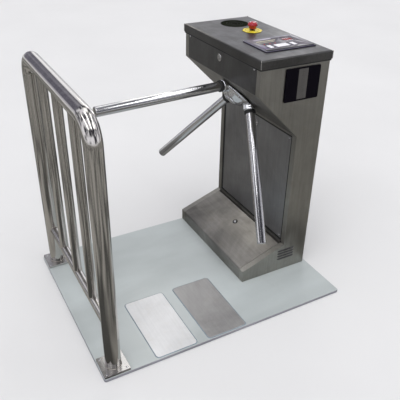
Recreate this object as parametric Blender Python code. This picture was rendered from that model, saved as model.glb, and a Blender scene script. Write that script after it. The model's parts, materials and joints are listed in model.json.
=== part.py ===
"""Visitor counter turnstile: a tripod gate cabinet and a guard rail on one floor plate.

X runs across the passage from the guard rail (-X) to the cabinet (+X), Y along the walking direction,
Z up. The origin is on the floor under the middle of the floor plate. Lengths are in metres.
"""

import math

import bmesh
import bpy
from mathutils import Matrix, Vector

# ---------------------------------------------------------------- driving dimensions
GAP = 0.0003  # clearance between pieces that rest on each other
SHEET = 0.002  # cabinet sheet steel

BASE_WIDTH, BASE_DEPTH, BASE_THICK = 1.046, 0.800, 0.012
BASE_CORNER = 0.008

FLANGE_SIDE, FLANGE_THICK, FLANGE_INSET = 0.098, 0.010, 0.002
RAIL_X = -BASE_WIDTH / 2 + FLANGE_INSET + FLANGE_SIDE / 2
RAIL_Y = BASE_DEPTH / 2 - FLANGE_INSET - FLANGE_SIDE / 2
RAIL_RADIUS, RAIL_WALL = 0.029, 0.0018
RAIL_TOP, RAIL_BEND = 0.948, 0.070
BAR_RADIUS, BAR_WALL, BAR_COUNT = 0.0165, 0.0015, 3
LOWER_RAIL_RADIUS, LOWER_RAIL_Z = 0.0172, 0.190

TREAD_SIZE, TREAD_THICK, TREAD_CORNER = (0.166, 0.320), 0.002, 0.012
TREAD_CENTRES = ((-0.235, -0.232), (-0.020, -0.234))

CAB_X0, CAB_X1 = 0.203, 0.508  # head: passage side and outer side
CAB_Y0, CAB_Y1 = -0.170, 0.398  # front end and rear end
MID_Y = (CAB_Y0 + CAB_Y1) / 2
COLUMN_X, FOOT_X = 0.393, 0.185
FOOT_Z, SLOPE_TOP_Z = 0.066, 0.140
FACE_LOW_Z, FACE_HIGH_Z = 0.655, 0.845  # the 45 degree face under the head
BODY_TOP_Z = 0.958
RETURN_DEPTH = 0.026  # folded edge of the end plates
SEAM = 0.001
PANEL_Y0, PANEL_Y1 = CAB_Y0 + RETURN_DEPTH + SEAM, CAB_Y1 - RETURN_DEPTH - SEAM

LID_TOP, LID_SKIRT, LID_OVERHANG, LID_BEVEL, LID_CORNER = 0.980, 0.032, 0.006, 0.006, 0.007
LID_LOW = LID_TOP - LID_SKIRT
LID_X0, LID_X1 = CAB_X0 - LID_OVERHANG, CAB_X1 + LID_OVERHANG
LID_Y0, LID_Y1 = CAB_Y0 - LID_OVERHANG, CAB_Y1 + LID_OVERHANG
HINGE_X, HINGE_Z, HINGE_RADIUS, HINGE_PIN_RADIUS = 0.5155, 0.943, 0.004, 0.0015
HINGE_HALF = 0.200

INDICATOR_X, INDICATOR_Z = 0.388, 0.8715
INDICATOR_WIDTH, INDICATOR_HEIGHT, INDICATOR_THICK = 0.154, 0.126, 0.005
INDICATOR_SLOT_WIDTH, INDICATOR_SLOT_HEIGHT = 0.044, 0.116

READER_X, READER_Y, READER_RADIUS = 0.389, 0.311, 0.063
ESTOP_X, ESTOP_Y = 0.393, 0.182
ESTOP_PLATE_RADIUS, ESTOP_KNOB_RADIUS = 0.041, 0.020
PANEL_X, PANEL_Y, PANEL_WIDTH, PANEL_DEPTH, PANEL_THICK = 0.383, -0.018, 0.226, 0.164, 0.003
KEYS = (
    ("counter_key_left", 0.319, 0.018),
    ("counter_key_middle", 0.371, 0.058),
    ("counter_key_right", 0.423, 0.018),
)
KEY_Y, KEY_DEPTH = -0.052, 0.032
DISPLAY_X, DISPLAY_Y, DISPLAY_SIDE = 0.440, 0.012, 0.046

LOCK_HEAD_RADIUS, LOCK_BARREL_RADIUS = 0.011, 0.008
LID_TONGUE, ACCESS_TONGUE = 0.030, 0.048
LID_LOCK_Z, ACCESS_LOCK_Z = 0.914, 0.606
ACCESS_X = 0.3965  # outer face of the recessed access panel

# The spin axis leaves the 45 degree face at its foot point and slopes down towards the passage.
# In the mechanism's own frame Z points out of the face, X up along it, Y along the cabinet.
AXIS_X, AXIS_Z = 0.2923, 0.7557
APEX_DEPTH = 0.064  # the three arms' axes meet this far behind the face
ARM_TURN = math.radians(-5)
ARM_RADIUS, ARM_WALL, ARM_START, ARM_TIP = 0.019, 0.0015, 0.1195, 0.666
CAP_THICK = 0.004
HUB_BACK, HUB_FLANGE, HUB_FLANGE_RADIUS = 0.003, 0.011, 0.085
HUB_FRONT, HUB_FRONT_RADIUS = 0.040, 0.034
SOCKET_RADIUS, SOCKET_END = 0.0245, 0.128
SHAFT_RADIUS, SHAFT_LOW, SHAFT_HIGH = 0.015, -0.075, 0.020
CAM_RADIUS, CAM_LOW, CAM_THICK = 0.045, -0.050, 0.010
RATCHET_RADIUS, RATCHET_LOW, RATCHET_THICK, RATCHET_SLOTS = 0.050, -0.066, 0.010, 12
PLATE_THICK = 0.004
CHASSIS_HALF, CHASSIS_THICK = 0.118, 0.006
ROLLER_RADIUS, ROLLER_DISTANCE = 0.009, 0.0546
DETENT_PIVOT = (0.060, 0.062)
PAWL_PIVOT = (-0.055, 0.066)
PLUNGER_X = -0.005

S45 = math.sqrt(0.5)
MECHANISM = Matrix(
    (
        (-S45, 0, -S45, AXIS_X),
        (0, 1, 0, MID_Y),
        (S45, 0, -S45, AXIS_Z),
        (0, 0, 0, 1),
    )
)


# ---------------------------------------------------------------- helpers
def clear_scene():
    for obj in list(bpy.data.objects):
        bpy.data.objects.remove(obj)


def material(name, colour, roughness, metallic=0.0, alpha=1.0):
    made = bpy.data.materials.new(name)
    made.use_nodes = True
    shader = made.node_tree.nodes["Principled BSDF"]
    shader.inputs["Base Color"].default_value = (*colour, 1.0)
    shader.inputs["Roughness"].default_value = roughness
    shader.inputs["Metallic"].default_value = metallic
    shader.inputs["Alpha"].default_value = alpha
    return made


def empty(name, matrix):
    made = bpy.data.objects.new(name, None)
    bpy.context.collection.objects.link(made)
    made.matrix_world = matrix
    return made


def circle(centre, axis, radius, segments, side=None, turn=0.0):
    """Points of a circle about a centre, at right angles to axis."""
    axis = Vector(axis).normalized()
    first = Vector(side) if side else axis.orthogonal().normalized()
    second = axis.cross(first)
    angles = [turn + 2 * math.pi * i / segments for i in range(segments)]
    return [Vector(centre) + radius * (math.cos(a) * first + math.sin(a) * second) for a in angles]


def skin(loops, closed=False):
    """A mesh through loops of equally many points, with its ends capped or joined to each other."""
    bm = bmesh.new()
    rows = [[bm.verts.new(p) for p in loop] for loop in loops]
    count = len(rows[0])
    pairs = list(zip(rows, rows[1:]))
    if closed:
        pairs.append((rows[-1], rows[0]))
    else:
        bm.faces.new(rows[0])
        bm.faces.new(rows[-1])
    for low, high in pairs:
        for i in range(count):
            j = (i + 1) % count
            bm.faces.new((low[i], low[j], high[j], high[i]))
    bmesh.ops.recalc_face_normals(bm, faces=bm.faces)
    return bm


def box(low, high):
    corners = [(low[0], low[1]), (high[0], low[1]), (high[0], high[1]), (low[0], high[1])]
    return skin([[(x, y, z) for x, y in corners] for z in (low[2], high[2])])


def prism(outline, axis, start, end):
    """A flat outline pushed along axis. Its 2-D points are the two other coordinates, in XYZ order."""
    slot = "XYZ".index(axis)
    loops = []
    for height in (start, end):
        loops.append([(*p[:slot], height, *p[slot:]) for p in (tuple(q) for q in outline)])
    return skin(loops)


def rod(start, end, radius, segments=24):
    axis = Vector(end) - Vector(start)
    return skin([circle(p, axis, radius, segments) for p in (start, end)])


def tube(path, outer, inner, segments, side):
    """A hollow tube with open ends along a path that lies in one plane at right angles to side."""
    path = [Vector(p) for p in path]
    loops = {outer: [], inner: []}
    for i, point in enumerate(path):
        ahead = (path[min(i + 1, len(path) - 1)] - point).normalized()
        behind = (point - path[max(i - 1, 0)]).normalized()
        tangent = (ahead + behind).normalized()
        for radius, made in loops.items():
            made.append(circle(point, tangent, radius, segments, side))
    return skin(loops[outer] + loops[inner][::-1], closed=True)


def turned(profile, segments=32, closed=False):
    """A solid of revolution about Z from (radius, z) points. closed joins the last point to the first."""
    return skin([circle((0, 0, z), (0, 0, 1), r, segments, (1, 0, 0)) for r, z in profile], closed)


def rounded_rectangle(centre, size, radius, steps=4, turn=0.0):
    (cx, cy), (w, h) = centre, size
    points = []
    for quarter, (sx, sy) in enumerate(((1, 1), (-1, 1), (-1, -1), (1, -1))):
        for step in range(steps + 1):
            a = math.pi / 2 * (quarter + step / steps)
            x = sx * (w / 2 - radius) + radius * math.cos(a)
            y = sy * (h / 2 - radius) + radius * math.sin(a)
            points.append((cx + x, cy + y))
    return points


def offset_line(points, distance):
    """The open polyline moved sideways by distance, with mitred corners."""
    points = [Vector(p) for p in points]
    normals = []
    for a, b in zip(points, points[1:]):
        d = (b - a).normalized()
        normals.append(Vector((d.y, -d.x)))
    moved = [points[0] + normals[0] * distance]
    for i in range(1, len(points) - 1):
        mitre = normals[i - 1] + normals[i]
        moved.append(points[i] + mitre * (2 * distance / mitre.length_squared))
    moved.append(points[-1] + normals[-1] * distance)
    return moved


def sheet_outline(points, thickness):
    """Outline of a folded sheet: the polyline and its offset copy, end to end."""
    return [Vector(p) for p in points] + offset_line(points, thickness)[::-1]


def inset_outline(outline, distance):
    """A closed outline, listed clockwise in (x, z), moved inwards by distance."""
    wrapped = [outline[-1], *outline, outline[0]]
    return offset_line(wrapped, distance)[1:-1]


def transformed(bm, matrix):
    bm.transform(matrix)
    return bm


def link(name, bm):
    mesh = bpy.data.meshes.new(name)
    bm.to_mesh(mesh)
    bm.free()
    obj = bpy.data.objects.new(name, mesh)
    bpy.context.collection.objects.link(obj)
    return obj


def add(name, bm, mat, parent=None, origin=None, smooth=False):
    """Makes the named object. origin moves its pivot there and leaves the shape in place."""
    if origin is not None:
        bm.transform(Matrix.Translation(-Vector(origin)))
    obj = link(name, bm)
    obj.parent = parent
    if origin is not None:
        obj.location = origin
    obj.data.materials.append(mat)
    if smooth:
        obj.data.shade_smooth()
        obj.data.set_sharp_from_angle(angle=math.radians(35))
    return obj


def combine(obj, bm, operation):
    """Adds a Boolean with a hidden helper that is placed in the object's own coordinates."""
    helper = link(f"{obj.name}.helper", bm)
    helper.parent = obj
    helper.hide_render = True
    helper.display_type = "WIRE"
    modifier = obj.modifiers.new(operation.lower(), "BOOLEAN")
    modifier.operation = operation
    modifier.solver = "EXACT"
    modifier.object = helper


def cut(obj, *tools):
    for bm in tools:
        combine(obj, bm, "DIFFERENCE")


def join(obj, *tools):
    for bm in tools:
        combine(obj, bm, "UNION")


# ---------------------------------------------------------------- floor plate and guard rail
def make_base(mats):
    outline = rounded_rectangle((0, 0), (BASE_WIDTH, BASE_DEPTH), BASE_CORNER)
    add("base_plate", prism(outline, "Z", 0, BASE_THICK), mats["base"])
    low = BASE_THICK + GAP
    for side, centre in zip(("left", "right"), TREAD_CENTRES):
        outline = rounded_rectangle(centre, TREAD_SIZE, TREAD_CORNER)
        add(f"tread_plate_{side}", prism(outline, "Z", low, low + TREAD_THICK), mats["brushed"])


def make_rail(mats):
    low = BASE_THICK + GAP
    half = FLANGE_SIDE / 2
    for end, y in (("front", -RAIL_Y), ("rear", RAIL_Y)):
        outline = rounded_rectangle((RAIL_X, y), (2 * half, 2 * half), 0.003, 2)
        add(f"rail_flange_{end}", prism(outline, "Z", low, low + FLANGE_THICK), mats["mirror"])

    foot = low + FLANGE_THICK + GAP
    bend_z, bend_y = RAIL_TOP - RAIL_BEND, RAIL_Y - RAIL_BEND
    path = [(RAIL_X, -RAIL_Y, foot)]
    for sign in (-1, 1):
        for step in range(9):
            a = math.pi / 2 * (step if sign < 0 else 8 - step) / 8
            y = sign * (bend_y + RAIL_BEND * math.cos(a))
            path.append((RAIL_X, y, bend_z + RAIL_BEND * math.sin(a)))
    path.append((RAIL_X, RAIL_Y, foot))
    hoop = tube(path, RAIL_RADIUS, RAIL_RADIUS - RAIL_WALL, 24, (1, 0, 0))
    add("guard_rail_hoop", hoop, mats["mirror"], smooth=True)

    ends = [(RAIL_X, y, LOWER_RAIL_Z) for y in (-RAIL_Y, RAIL_Y)]
    lower = tube(ends, LOWER_RAIL_RADIUS, LOWER_RAIL_RADIUS - BAR_WALL, 20, (1, 0, 0))
    lower = add("rail_lower_tube", lower, mats["mirror"], smooth=True)
    for y in (-RAIL_Y, RAIL_Y):
        cut(lower, rod((RAIL_X, y, 0), (RAIL_X, y, 0.4), RAIL_RADIUS + GAP, 24))

    for number in range(BAR_COUNT):
        y = RAIL_Y * (2 * (number + 1) / (BAR_COUNT + 1) - 1)
        ends = [(RAIL_X, y, LOWER_RAIL_Z), (RAIL_X, y, RAIL_TOP)]
        bar = tube(ends, BAR_RADIUS, BAR_RADIUS - BAR_WALL, 16, (1, 0, 0))
        bar = add(f"rail_bar_{number + 1}", bar, mats["mirror"], smooth=True)
        for z, radius in ((RAIL_TOP, RAIL_RADIUS), (LOWER_RAIL_Z, LOWER_RAIL_RADIUS)):
            cut(bar, rod((RAIL_X, y - 0.05, z), (RAIL_X, y + 0.05, z), radius + GAP, 24))


# ---------------------------------------------------------------- cabinet
def end_plate(name, y, inward, mats):
    """A C-shaped end plate with all its edges folded inwards."""
    outline = [
        (FOOT_X, BASE_THICK + GAP),
        (FOOT_X, FOOT_Z),
        (COLUMN_X, SLOPE_TOP_Z),
        (COLUMN_X, FACE_LOW_Z),
        (CAB_X0, FACE_HIGH_Z),
        (CAB_X0, BODY_TOP_Z),
        (CAB_X1, BODY_TOP_Z),
        (CAB_X1, BASE_THICK + GAP),
    ]
    inner = inset_outline(outline, SHEET)
    rim, floor = y + inward * RETURN_DEPTH, y + inward * SHEET
    loops = [
        [(p[0], y, p[1]) for p in outline],
        [(p[0], rim, p[1]) for p in outline],
        [(p[0], rim, p[1]) for p in inner],
        [(p[0], floor, p[1]) for p in inner],
    ]
    obj = add(name, skin(loops), mats["brushed"])
    window = (INDICATOR_WIDTH / 2 - 0.010, INDICATOR_HEIGHT / 2 - 0.003)
    low = (INDICATOR_X - window[0], y - 0.01, INDICATOR_Z - window[1])
    high = (INDICATOR_X + window[0], y + 0.01, INDICATOR_Z + window[1])
    cut(obj, box(low, high))
    for row in range(4):
        z = 0.066 + 0.014 * row
        cut(obj, box((0.366, y - 0.01, z), (0.444, y + 0.01, z + 0.004)))
    return obj


def make_indicator(end, y, outward, mats):
    """The black pass-direction panel on an end plate, with its lit strip."""
    w, h = INDICATOR_WIDTH, INDICATOR_HEIGHT
    near, far = y + outward * GAP, y + outward * (GAP + INDICATOR_THICK)
    outline = rounded_rectangle((INDICATOR_X, INDICATOR_Z), (w, h), 0.004, 2)
    frame = add(f"{end}_indicator_frame", prism(outline, "Y", near, far), mats["black"])
    sw, sh = INDICATOR_SLOT_WIDTH / 2, INDICATOR_SLOT_HEIGHT / 2
    x, z = INDICATOR_X, INDICATOR_Z
    cut(frame, box((x - sw, y - 0.02, z - sh), (x + sw, y + 0.02, z + sh)))
    sw, sh = sw - GAP, sh - GAP
    ends = sorted((near, far - outward * 0.0015))
    lens = box((x - sw, ends[0], z - sh), (x + sw, ends[1], z + sh))
    add(f"{end}_indicator_lens", lens, mats["lens"])


def make_cabinet(mats):
    end_plate("front_end_plate", CAB_Y0, 1, mats)
    end_plate("rear_end_plate", CAB_Y1, -1, mats)
    make_indicator("front", CAB_Y0, -1, mats)
    make_indicator("rear", CAB_Y1, 1, mats)

    low, high = (CAB_X1 - SHEET, PANEL_Y0, BASE_THICK + GAP), (CAB_X1, PANEL_Y1, BODY_TOP_Z)
    add("outer_side_panel", box(low, high), mats["brushed"])

    low, high = (CAB_X0, PANEL_Y0, FACE_HIGH_Z + 0.002), (CAB_X0 + SHEET, PANEL_Y1, BODY_TOP_Z)
    head_side = add("head_side_panel", box(low, high), mats["brushed"])
    start, end = (CAB_X0 - 0.01, MID_Y, LID_LOCK_Z), (CAB_X0 + 0.01, MID_Y, LID_LOCK_Z)
    cut(head_side, rod(start, end, LOCK_BARREL_RADIUS + GAP))

    lip = 0.008
    line = [(CAB_X0, FACE_HIGH_Z), (COLUMN_X, FACE_LOW_Z), (COLUMN_X, FACE_LOW_Z - lip)]
    outline = sheet_outline(line, -PLATE_THICK)
    face = add("mechanism_face_plate", prism(outline, "Y", PANEL_Y0, PANEL_Y1), mats["brushed"])
    hole = transformed(rod((0, 0, -0.02), (0, 0, 0.02), 0.031, 32), MECHANISM)
    cut(face, hole)

    sill = 0.012
    line = [
        (FOOT_X, BASE_THICK + GAP),
        (FOOT_X, FOOT_Z),
        (COLUMN_X - sill, SLOPE_TOP_Z - 0.0035),
        (COLUMN_X - sill, SLOPE_TOP_Z - 0.010),
        (COLUMN_X - sill / 2, SLOPE_TOP_Z - 0.010),
        (COLUMN_X - sill / 2, SLOPE_TOP_Z + 0.007),
        (COLUMN_X + 0.010, SLOPE_TOP_Z + 0.007),
    ]
    outline = sheet_outline(line, 0.0015)
    add("foot_cover", prism(outline, "Y", PANEL_Y0, PANEL_Y1), mats["brushed"])

    make_access_panel(mats)


def make_access_panel(mats):
    """The recessed column panel in its rubber frame."""
    z0, z1 = SLOPE_TOP_Z + 0.0075, FACE_LOW_Z - 0.009
    y0, y1, band = PANEL_Y0, PANEL_Y1, 0.007
    x0, x1 = ACCESS_X - 0.001, ACCESS_X + 0.005
    gasket = add("access_panel_gasket", box((x0, y0, z0), (x1, y1, z1)), mats["rubber"])
    hole = box((x0 - 0.01, y0 + band, z0 + band), (x1 + 0.01, y1 - band, z1 - band))
    cut(gasket, hole)
    inset = band + GAP
    low = (ACCESS_X, y0 + inset, z0 + inset)
    high = (ACCESS_X + SHEET, y1 - inset, z1 - inset)
    panel = add("access_panel", box(low, high), mats["brushed"])
    start, end = (ACCESS_X - 0.01, MID_Y, ACCESS_LOCK_Z), (ACCESS_X + 0.01, MID_Y, ACCESS_LOCK_Z)
    cut(panel, rod(start, end, LOCK_BARREL_RADIUS + GAP))


def make_lock(name, surface_x, z, tongue, mats):
    """A cam lock: round head outside the sheet, barrel through it, tongue pointing up behind it."""
    head = rod((surface_x - 0.0035, MID_Y, z), (surface_x - GAP, MID_Y, z), LOCK_HEAD_RADIUS)
    barrel = rod((surface_x - 0.002, MID_Y, z), (surface_x + 0.019, MID_Y, z), LOCK_BARREL_RADIUS)
    low = (surface_x + 0.0185, MID_Y - 0.006, z - 0.008)
    high = (surface_x + 0.0205, MID_Y + 0.006, z + tongue)
    pivot = (surface_x, MID_Y, z)
    obj = add(name, head, mats["chrome"], origin=pivot, smooth=True)
    to_pivot = Matrix.Translation(-Vector(pivot))
    join(obj, transformed(barrel, to_pivot), transformed(box(low, high), to_pivot))
    low = (surface_x - 0.01, MID_Y - 0.0008, z - 0.004)
    key_slot = box(low, (surface_x - 0.0015, MID_Y + 0.0008, z + 0.004))
    cut(obj, transformed(key_slot, to_pivot))


# ---------------------------------------------------------------- lid and what it carries
def make_lid(mats, hinge):
    centre = ((LID_X0 + LID_X1) / 2, (LID_Y0 + LID_Y1) / 2)
    size = (LID_X1 - LID_X0, LID_Y1 - LID_Y0)

    def loop(inset, z):
        inner = (size[0] - 2 * inset, size[1] - 2 * inset)
        outline = rounded_rectangle(centre, inner, max(LID_CORNER - inset, 0.001), 3)
        return [(x, y, z) for x, y in outline]

    loops = [
        loop(SHEET + LID_BEVEL, LID_TOP - SHEET),
        loop(SHEET, LID_TOP - SHEET - LID_BEVEL * 0.7),
        loop(SHEET, LID_LOW),
        loop(0, LID_LOW),
        loop(0, LID_TOP - LID_BEVEL * 0.7),
        loop(0.0018, LID_TOP - LID_BEVEL * 0.25),
        loop(LID_BEVEL, LID_TOP),
    ]
    pivot = Vector((HINGE_X, MID_Y, HINGE_Z))
    to_pivot = Matrix.Translation(-pivot)
    lid = add("lid", skin(loops), mats["brushed"], parent=hinge)
    lid.data.transform(to_pivot)
    tools = [
        rod((READER_X, READER_Y, 0.95), (READER_X, READER_Y, 1.0), READER_RADIUS - 0.004, 40),
        rod((ESTOP_X, ESTOP_Y, 0.95), (ESTOP_X, ESTOP_Y, 1.0), 0.0115),
        box((0.302, -0.075, 0.95), (0.470, 0.042, 1.0)),
    ]
    cut(lid, *[transformed(tool, to_pivot) for tool in tools])
    strap_x, lip_z = CAB_X0 + 0.0235, LID_LOCK_Z - 0.0105
    strap = box((strap_x, MID_Y + 0.030, lip_z), (strap_x + 0.002, MID_Y + 0.040, LID_TOP - 0.001))
    lip = box((strap_x - 0.007, MID_Y + 0.010, lip_z), (strap_x + 0.002, MID_Y + 0.040, lip_z + 0.002))
    join(lid, transformed(strap, to_pivot), transformed(lip, to_pivot))


def make_lid_parts(mats, hinge):
    def on_lid(name, bm, mat, smooth=False):
        return add(name, transformed(bm, to_pivot), mats[mat], parent=hinge, smooth=smooth)

    to_pivot = Matrix.Translation(-Vector((HINGE_X, MID_Y, HINGE_Z)))
    top = LID_TOP + GAP

    profile = [
        (READER_RADIUS, LID_TOP - SHEET - GAP - 0.004),
        (READER_RADIUS, LID_TOP - SHEET - GAP),
        (READER_RADIUS - 0.0045, LID_TOP - SHEET - GAP),
        (READER_RADIUS - 0.0045, LID_TOP + 0.0004),
    ]
    disc = transformed(turned(profile, 40), Matrix.Translation((READER_X, READER_Y, 0)))
    on_lid("reader_window", disc, "smoked", smooth=True)

    centre = (ESTOP_X, ESTOP_Y, 0)
    octagon = circle(centre, (0, 0, 1), ESTOP_PLATE_RADIUS, 8, (1, 0, 0), math.pi / 8)
    corners = [p[:2] for p in octagon]
    plate = on_lid("estop_legend_plate", prism(corners, "Z", top, top + 0.002), "yellow")
    at_estop = to_pivot @ Matrix.Translation((ESTOP_X, ESTOP_Y, 0))
    cut(plate, transformed(rod((0, 0, 0.95), (0, 0, 1.0), 0.0115), at_estop))

    collar = top + 0.002 + GAP
    profile = [
        (0.017, 0.935),
        (0.017, LID_TOP - SHEET - GAP),
        (0.011, LID_TOP - SHEET - GAP),
        (0.011, collar),
        (0.0122, collar),
        (0.0122, collar + 0.0012),
        (0.0058, collar + 0.0012),
        (0.0058, 0.950),
    ]
    body = transformed(turned(profile, 24), Matrix.Translation((ESTOP_X, ESTOP_Y, 0)))
    on_lid("estop_body", body, "black", smooth=True)

    outline = rounded_rectangle((PANEL_X, PANEL_Y), (PANEL_WIDTH, PANEL_DEPTH), 0.006, 3)
    panel = on_lid("counter_panel", prism(outline, "Z", top, top + PANEL_THICK), "panel")
    half = DISPLAY_SIDE / 2
    holes = [box((DISPLAY_X - half, DISPLAY_Y - half, 0.95), (DISPLAY_X + half, DISPLAY_Y + half, 1.0))]
    for _, x, width in KEYS:
        low = (x - width / 2, KEY_Y - KEY_DEPTH / 2, 0.95)
        holes.append(box(low, (x + width / 2, KEY_Y + KEY_DEPTH / 2, 1.0)))
    cut(panel, *[transformed(hole, to_pivot) for hole in holes])

    half -= GAP
    low = (DISPLAY_X - half, DISPLAY_Y - half, 0.955)
    on_lid("counter_display", box(low, (DISPLAY_X + half, DISPLAY_Y + half, top + 0.0024)), "red_lens")


def make_keys(mats):
    clear = 0.0005
    for name, x, width in KEYS:
        w, d = width - 2 * clear, KEY_DEPTH - 2 * clear
        loops = []
        for inset, z in ((0, 0.9725), (0, 0.9850), (0.0008, 0.9858)):
            outline = rounded_rectangle((x, KEY_Y), (w - 2 * inset, d - 2 * inset), 0.0015, 2)
            loops.append([(a, b, z) for a, b in outline])
        add(name, skin(loops), mats["white"], origin=(x, KEY_Y, LID_TOP))


def make_estop_button(mats):
    stem_low, stem_high = 0.956, 1.004
    foot = (ESTOP_X, ESTOP_Y, stem_low)
    stem = rod(foot, (ESTOP_X, ESTOP_Y, stem_high), 0.005, 16)
    add("estop_stem", stem, mats["black"], origin=foot, smooth=True)
    r = ESTOP_KNOB_RADIUS
    profile = [
        (0.0056, 0.9892),
        (0.0150, 0.9892),
        (0.0150, 0.9985),
        (r - 0.0005, 1.0000),
        (r, 1.0060),
        (r - 0.0015, 1.0110),
        (r - 0.0065, 1.0150),
        (0.0010, 1.0168),
    ]
    knob = transformed(turned(profile, 28), Matrix.Translation((ESTOP_X, ESTOP_Y, 0)))
    knob = add("estop_knob", knob, mats["red"], origin=(ESTOP_X, ESTOP_Y, 1.0), smooth=True)
    bore = rod((0, 0, -0.02), (0, 0, stem_high + GAP - 1.0), 0.0056, 16)
    cut(knob, bore)


def make_lid_hinge(mats, hinge):
    """A piano hinge under the lid's outer edge: fixed leaf, moving leaf and pin."""
    to_pivot = Matrix.Translation(-Vector((HINGE_X, MID_Y, HINGE_Z)))
    count, play = 5, 0.0005
    length = 2 * HINGE_HALF / count
    edges = [(MID_Y - HINGE_HALF + i * length, MID_Y - HINGE_HALF + (i + 1) * length) for i in range(count)]

    def leaf(name, plate, tab_z, knuckles, matrix, parent):
        obj = add(name, transformed(plate, matrix), mats["brushed"], parent=parent, smooth=False)
        low, high = tab_z
        x0, x1 = (CAB_X1 + GAP, HINGE_X - 0.001) if parent is None else (LID_X1 + GAP, LID_X1 + 0.0018)
        for a, b in knuckles:
            a, b = a + play, b - play
            tab = box((x0, a, low), (x1, b, high))
            barrel = rod((HINGE_X, a, HINGE_Z), (HINGE_X, b, HINGE_Z), HINGE_RADIUS, 16)
            join(obj, transformed(tab, matrix), transformed(barrel, matrix))
        start, end = (HINGE_X, MID_Y - 0.3, HINGE_Z), (HINGE_X, MID_Y + 0.3, HINGE_Z)
        cut(obj, transformed(rod(start, end, HINGE_PIN_RADIUS + GAP, 12), matrix))

    y0, y1 = MID_Y - HINGE_HALF, MID_Y + HINGE_HALF
    fixed = box((CAB_X1 + GAP, y0, 0.918), (CAB_X1 + 0.0018, y1, 0.9385))
    leaf("lid_hinge_fixed_leaf", fixed, (0.936, 0.9415), edges[0::2], Matrix.Identity(4), None)
    moving = box((LID_X1 + GAP, y0, 0.9480), (LID_X1 + 0.0018, y1, 0.968))
    leaf("lid_hinge_moving_leaf", moving, (0.9445, 0.950), edges[1::2], to_pivot, hinge)
    pin = rod((HINGE_X, y0, HINGE_Z), (HINGE_X, y1, HINGE_Z), HINGE_PIN_RADIUS, 12)
    add("lid_hinge_pin", pin, mats["steel"], smooth=True)


# ---------------------------------------------------------------- tripod
def arm_direction(number):
    """Unit vector of an arm in the mechanism's frame: 45 degrees off the axis, 120 degrees apart."""
    turn = ARM_TURN + 2 * math.pi * number / 3
    return Vector((S45 * math.cos(turn), S45 * math.sin(turn), S45))


def make_tripod(mats, axis):
    apex = Vector((0, 0, -APEX_DEPTH))
    profile = [
        (HUB_FLANGE_RADIUS, HUB_BACK),
        (HUB_FLANGE_RADIUS, HUB_FLANGE),
        (0.072, 0.0165),
        (HUB_FRONT_RADIUS + 0.004, HUB_FRONT - 0.003),
        (HUB_FRONT_RADIUS, HUB_FRONT),
    ]
    hub = add("tripod_hub", turned(profile, 36), mats["chrome"], parent=axis, smooth=True)
    for number in range(3):
        d = arm_direction(number)
        join(hub, rod(apex + 0.088 * d, apex + SOCKET_END * d, SOCKET_RADIUS, 24))
    below = box((-0.2, -0.2, -0.1), (0.2, 0.2, HUB_BACK))
    cut(hub, below, rod((0, 0, -0.01), (0, 0, SHAFT_HIGH + GAP), SHAFT_RADIUS + GAP, 24))
    for number in range(3):
        d = arm_direction(number)
        cut(hub, rod(apex + (ARM_START - GAP) * d, apex + 0.2 * d, ARM_RADIUS + GAP, 24))

    profile = [
        (HUB_FRONT_RADIUS - 0.002, HUB_FRONT + GAP),
        (HUB_FRONT_RADIUS - 0.004, HUB_FRONT + 0.003),
        (0.012, 0.0455),
    ]
    add("hub_cap", turned(profile, 32), mats["chrome"], parent=axis, smooth=True)

    for number in range(3):
        d = arm_direction(number)
        side = d.orthogonal().normalized()
        ends = (apex + ARM_START * d, apex + (ARM_TIP - CAP_THICK - GAP) * d)
        arm = tube(ends, ARM_RADIUS, ARM_RADIUS - ARM_WALL, 24, side)
        add(f"arm_{number + 1}", arm, mats["chrome"], parent=axis, smooth=True)
        plug = ARM_RADIUS - ARM_WALL - GAP
        start, edge = ARM_TIP - CAP_THICK - 0.015, ARM_TIP - CAP_THICK
        loops = [
            circle(apex + start * d, d, plug, 24, side),
            circle(apex + edge * d, d, plug, 24, side),
            circle(apex + edge * d, d, ARM_RADIUS, 24, side),
            circle(apex + (ARM_TIP - 0.001) * d, d, ARM_RADIUS, 24, side),
            circle(apex + ARM_TIP * d, d, ARM_RADIUS - 0.001, 24, side),
        ]
        add(f"arm_cap_{number + 1}", skin(loops), mats["chrome"], parent=axis, smooth=True)

    shaft = rod((0, 0, SHAFT_LOW), (0, 0, SHAFT_HIGH), SHAFT_RADIUS, 24)
    add("drive_shaft", shaft, mats["steel"], parent=axis, smooth=True)

    bore = SHAFT_RADIUS + GAP
    cam_high = CAM_LOW + CAM_THICK
    profile = [(bore, CAM_LOW), (CAM_RADIUS, CAM_LOW), (CAM_RADIUS, cam_high), (bore, cam_high)]
    cam = add("index_cam", turned(profile, 48, closed=True), mats["steel"], parent=axis, smooth=True)
    for number in range(6):
        a = 2 * math.pi * number / 6
        x, y = (CAM_RADIUS + 0.005) * math.cos(a), (CAM_RADIUS + 0.005) * math.sin(a)
        cut(cam, rod((x, y, CAM_LOW - 0.01), (x, y, CAM_LOW + 0.02), ROLLER_RADIUS, 20))

    low, high = RATCHET_LOW, RATCHET_LOW + RATCHET_THICK
    outline = []
    for slot in range(RATCHET_SLOTS):
        middle = 2 * math.pi * slot / RATCHET_SLOTS
        for side, radius in ((-1, RATCHET_RADIUS), (-1, 0.0435), (1, 0.0435), (1, RATCHET_RADIUS)):
            a = middle + side * math.asin(0.0048 / radius)
            outline.append((radius * math.cos(a), radius * math.sin(a)))
    ratchet = add("lock_ratchet", prism(outline, "Z", low, high), mats["steel"], parent=axis)
    cut(ratchet, rod((0, 0, low - 0.01), (0, 0, high + 0.01), bore, 24))


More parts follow.
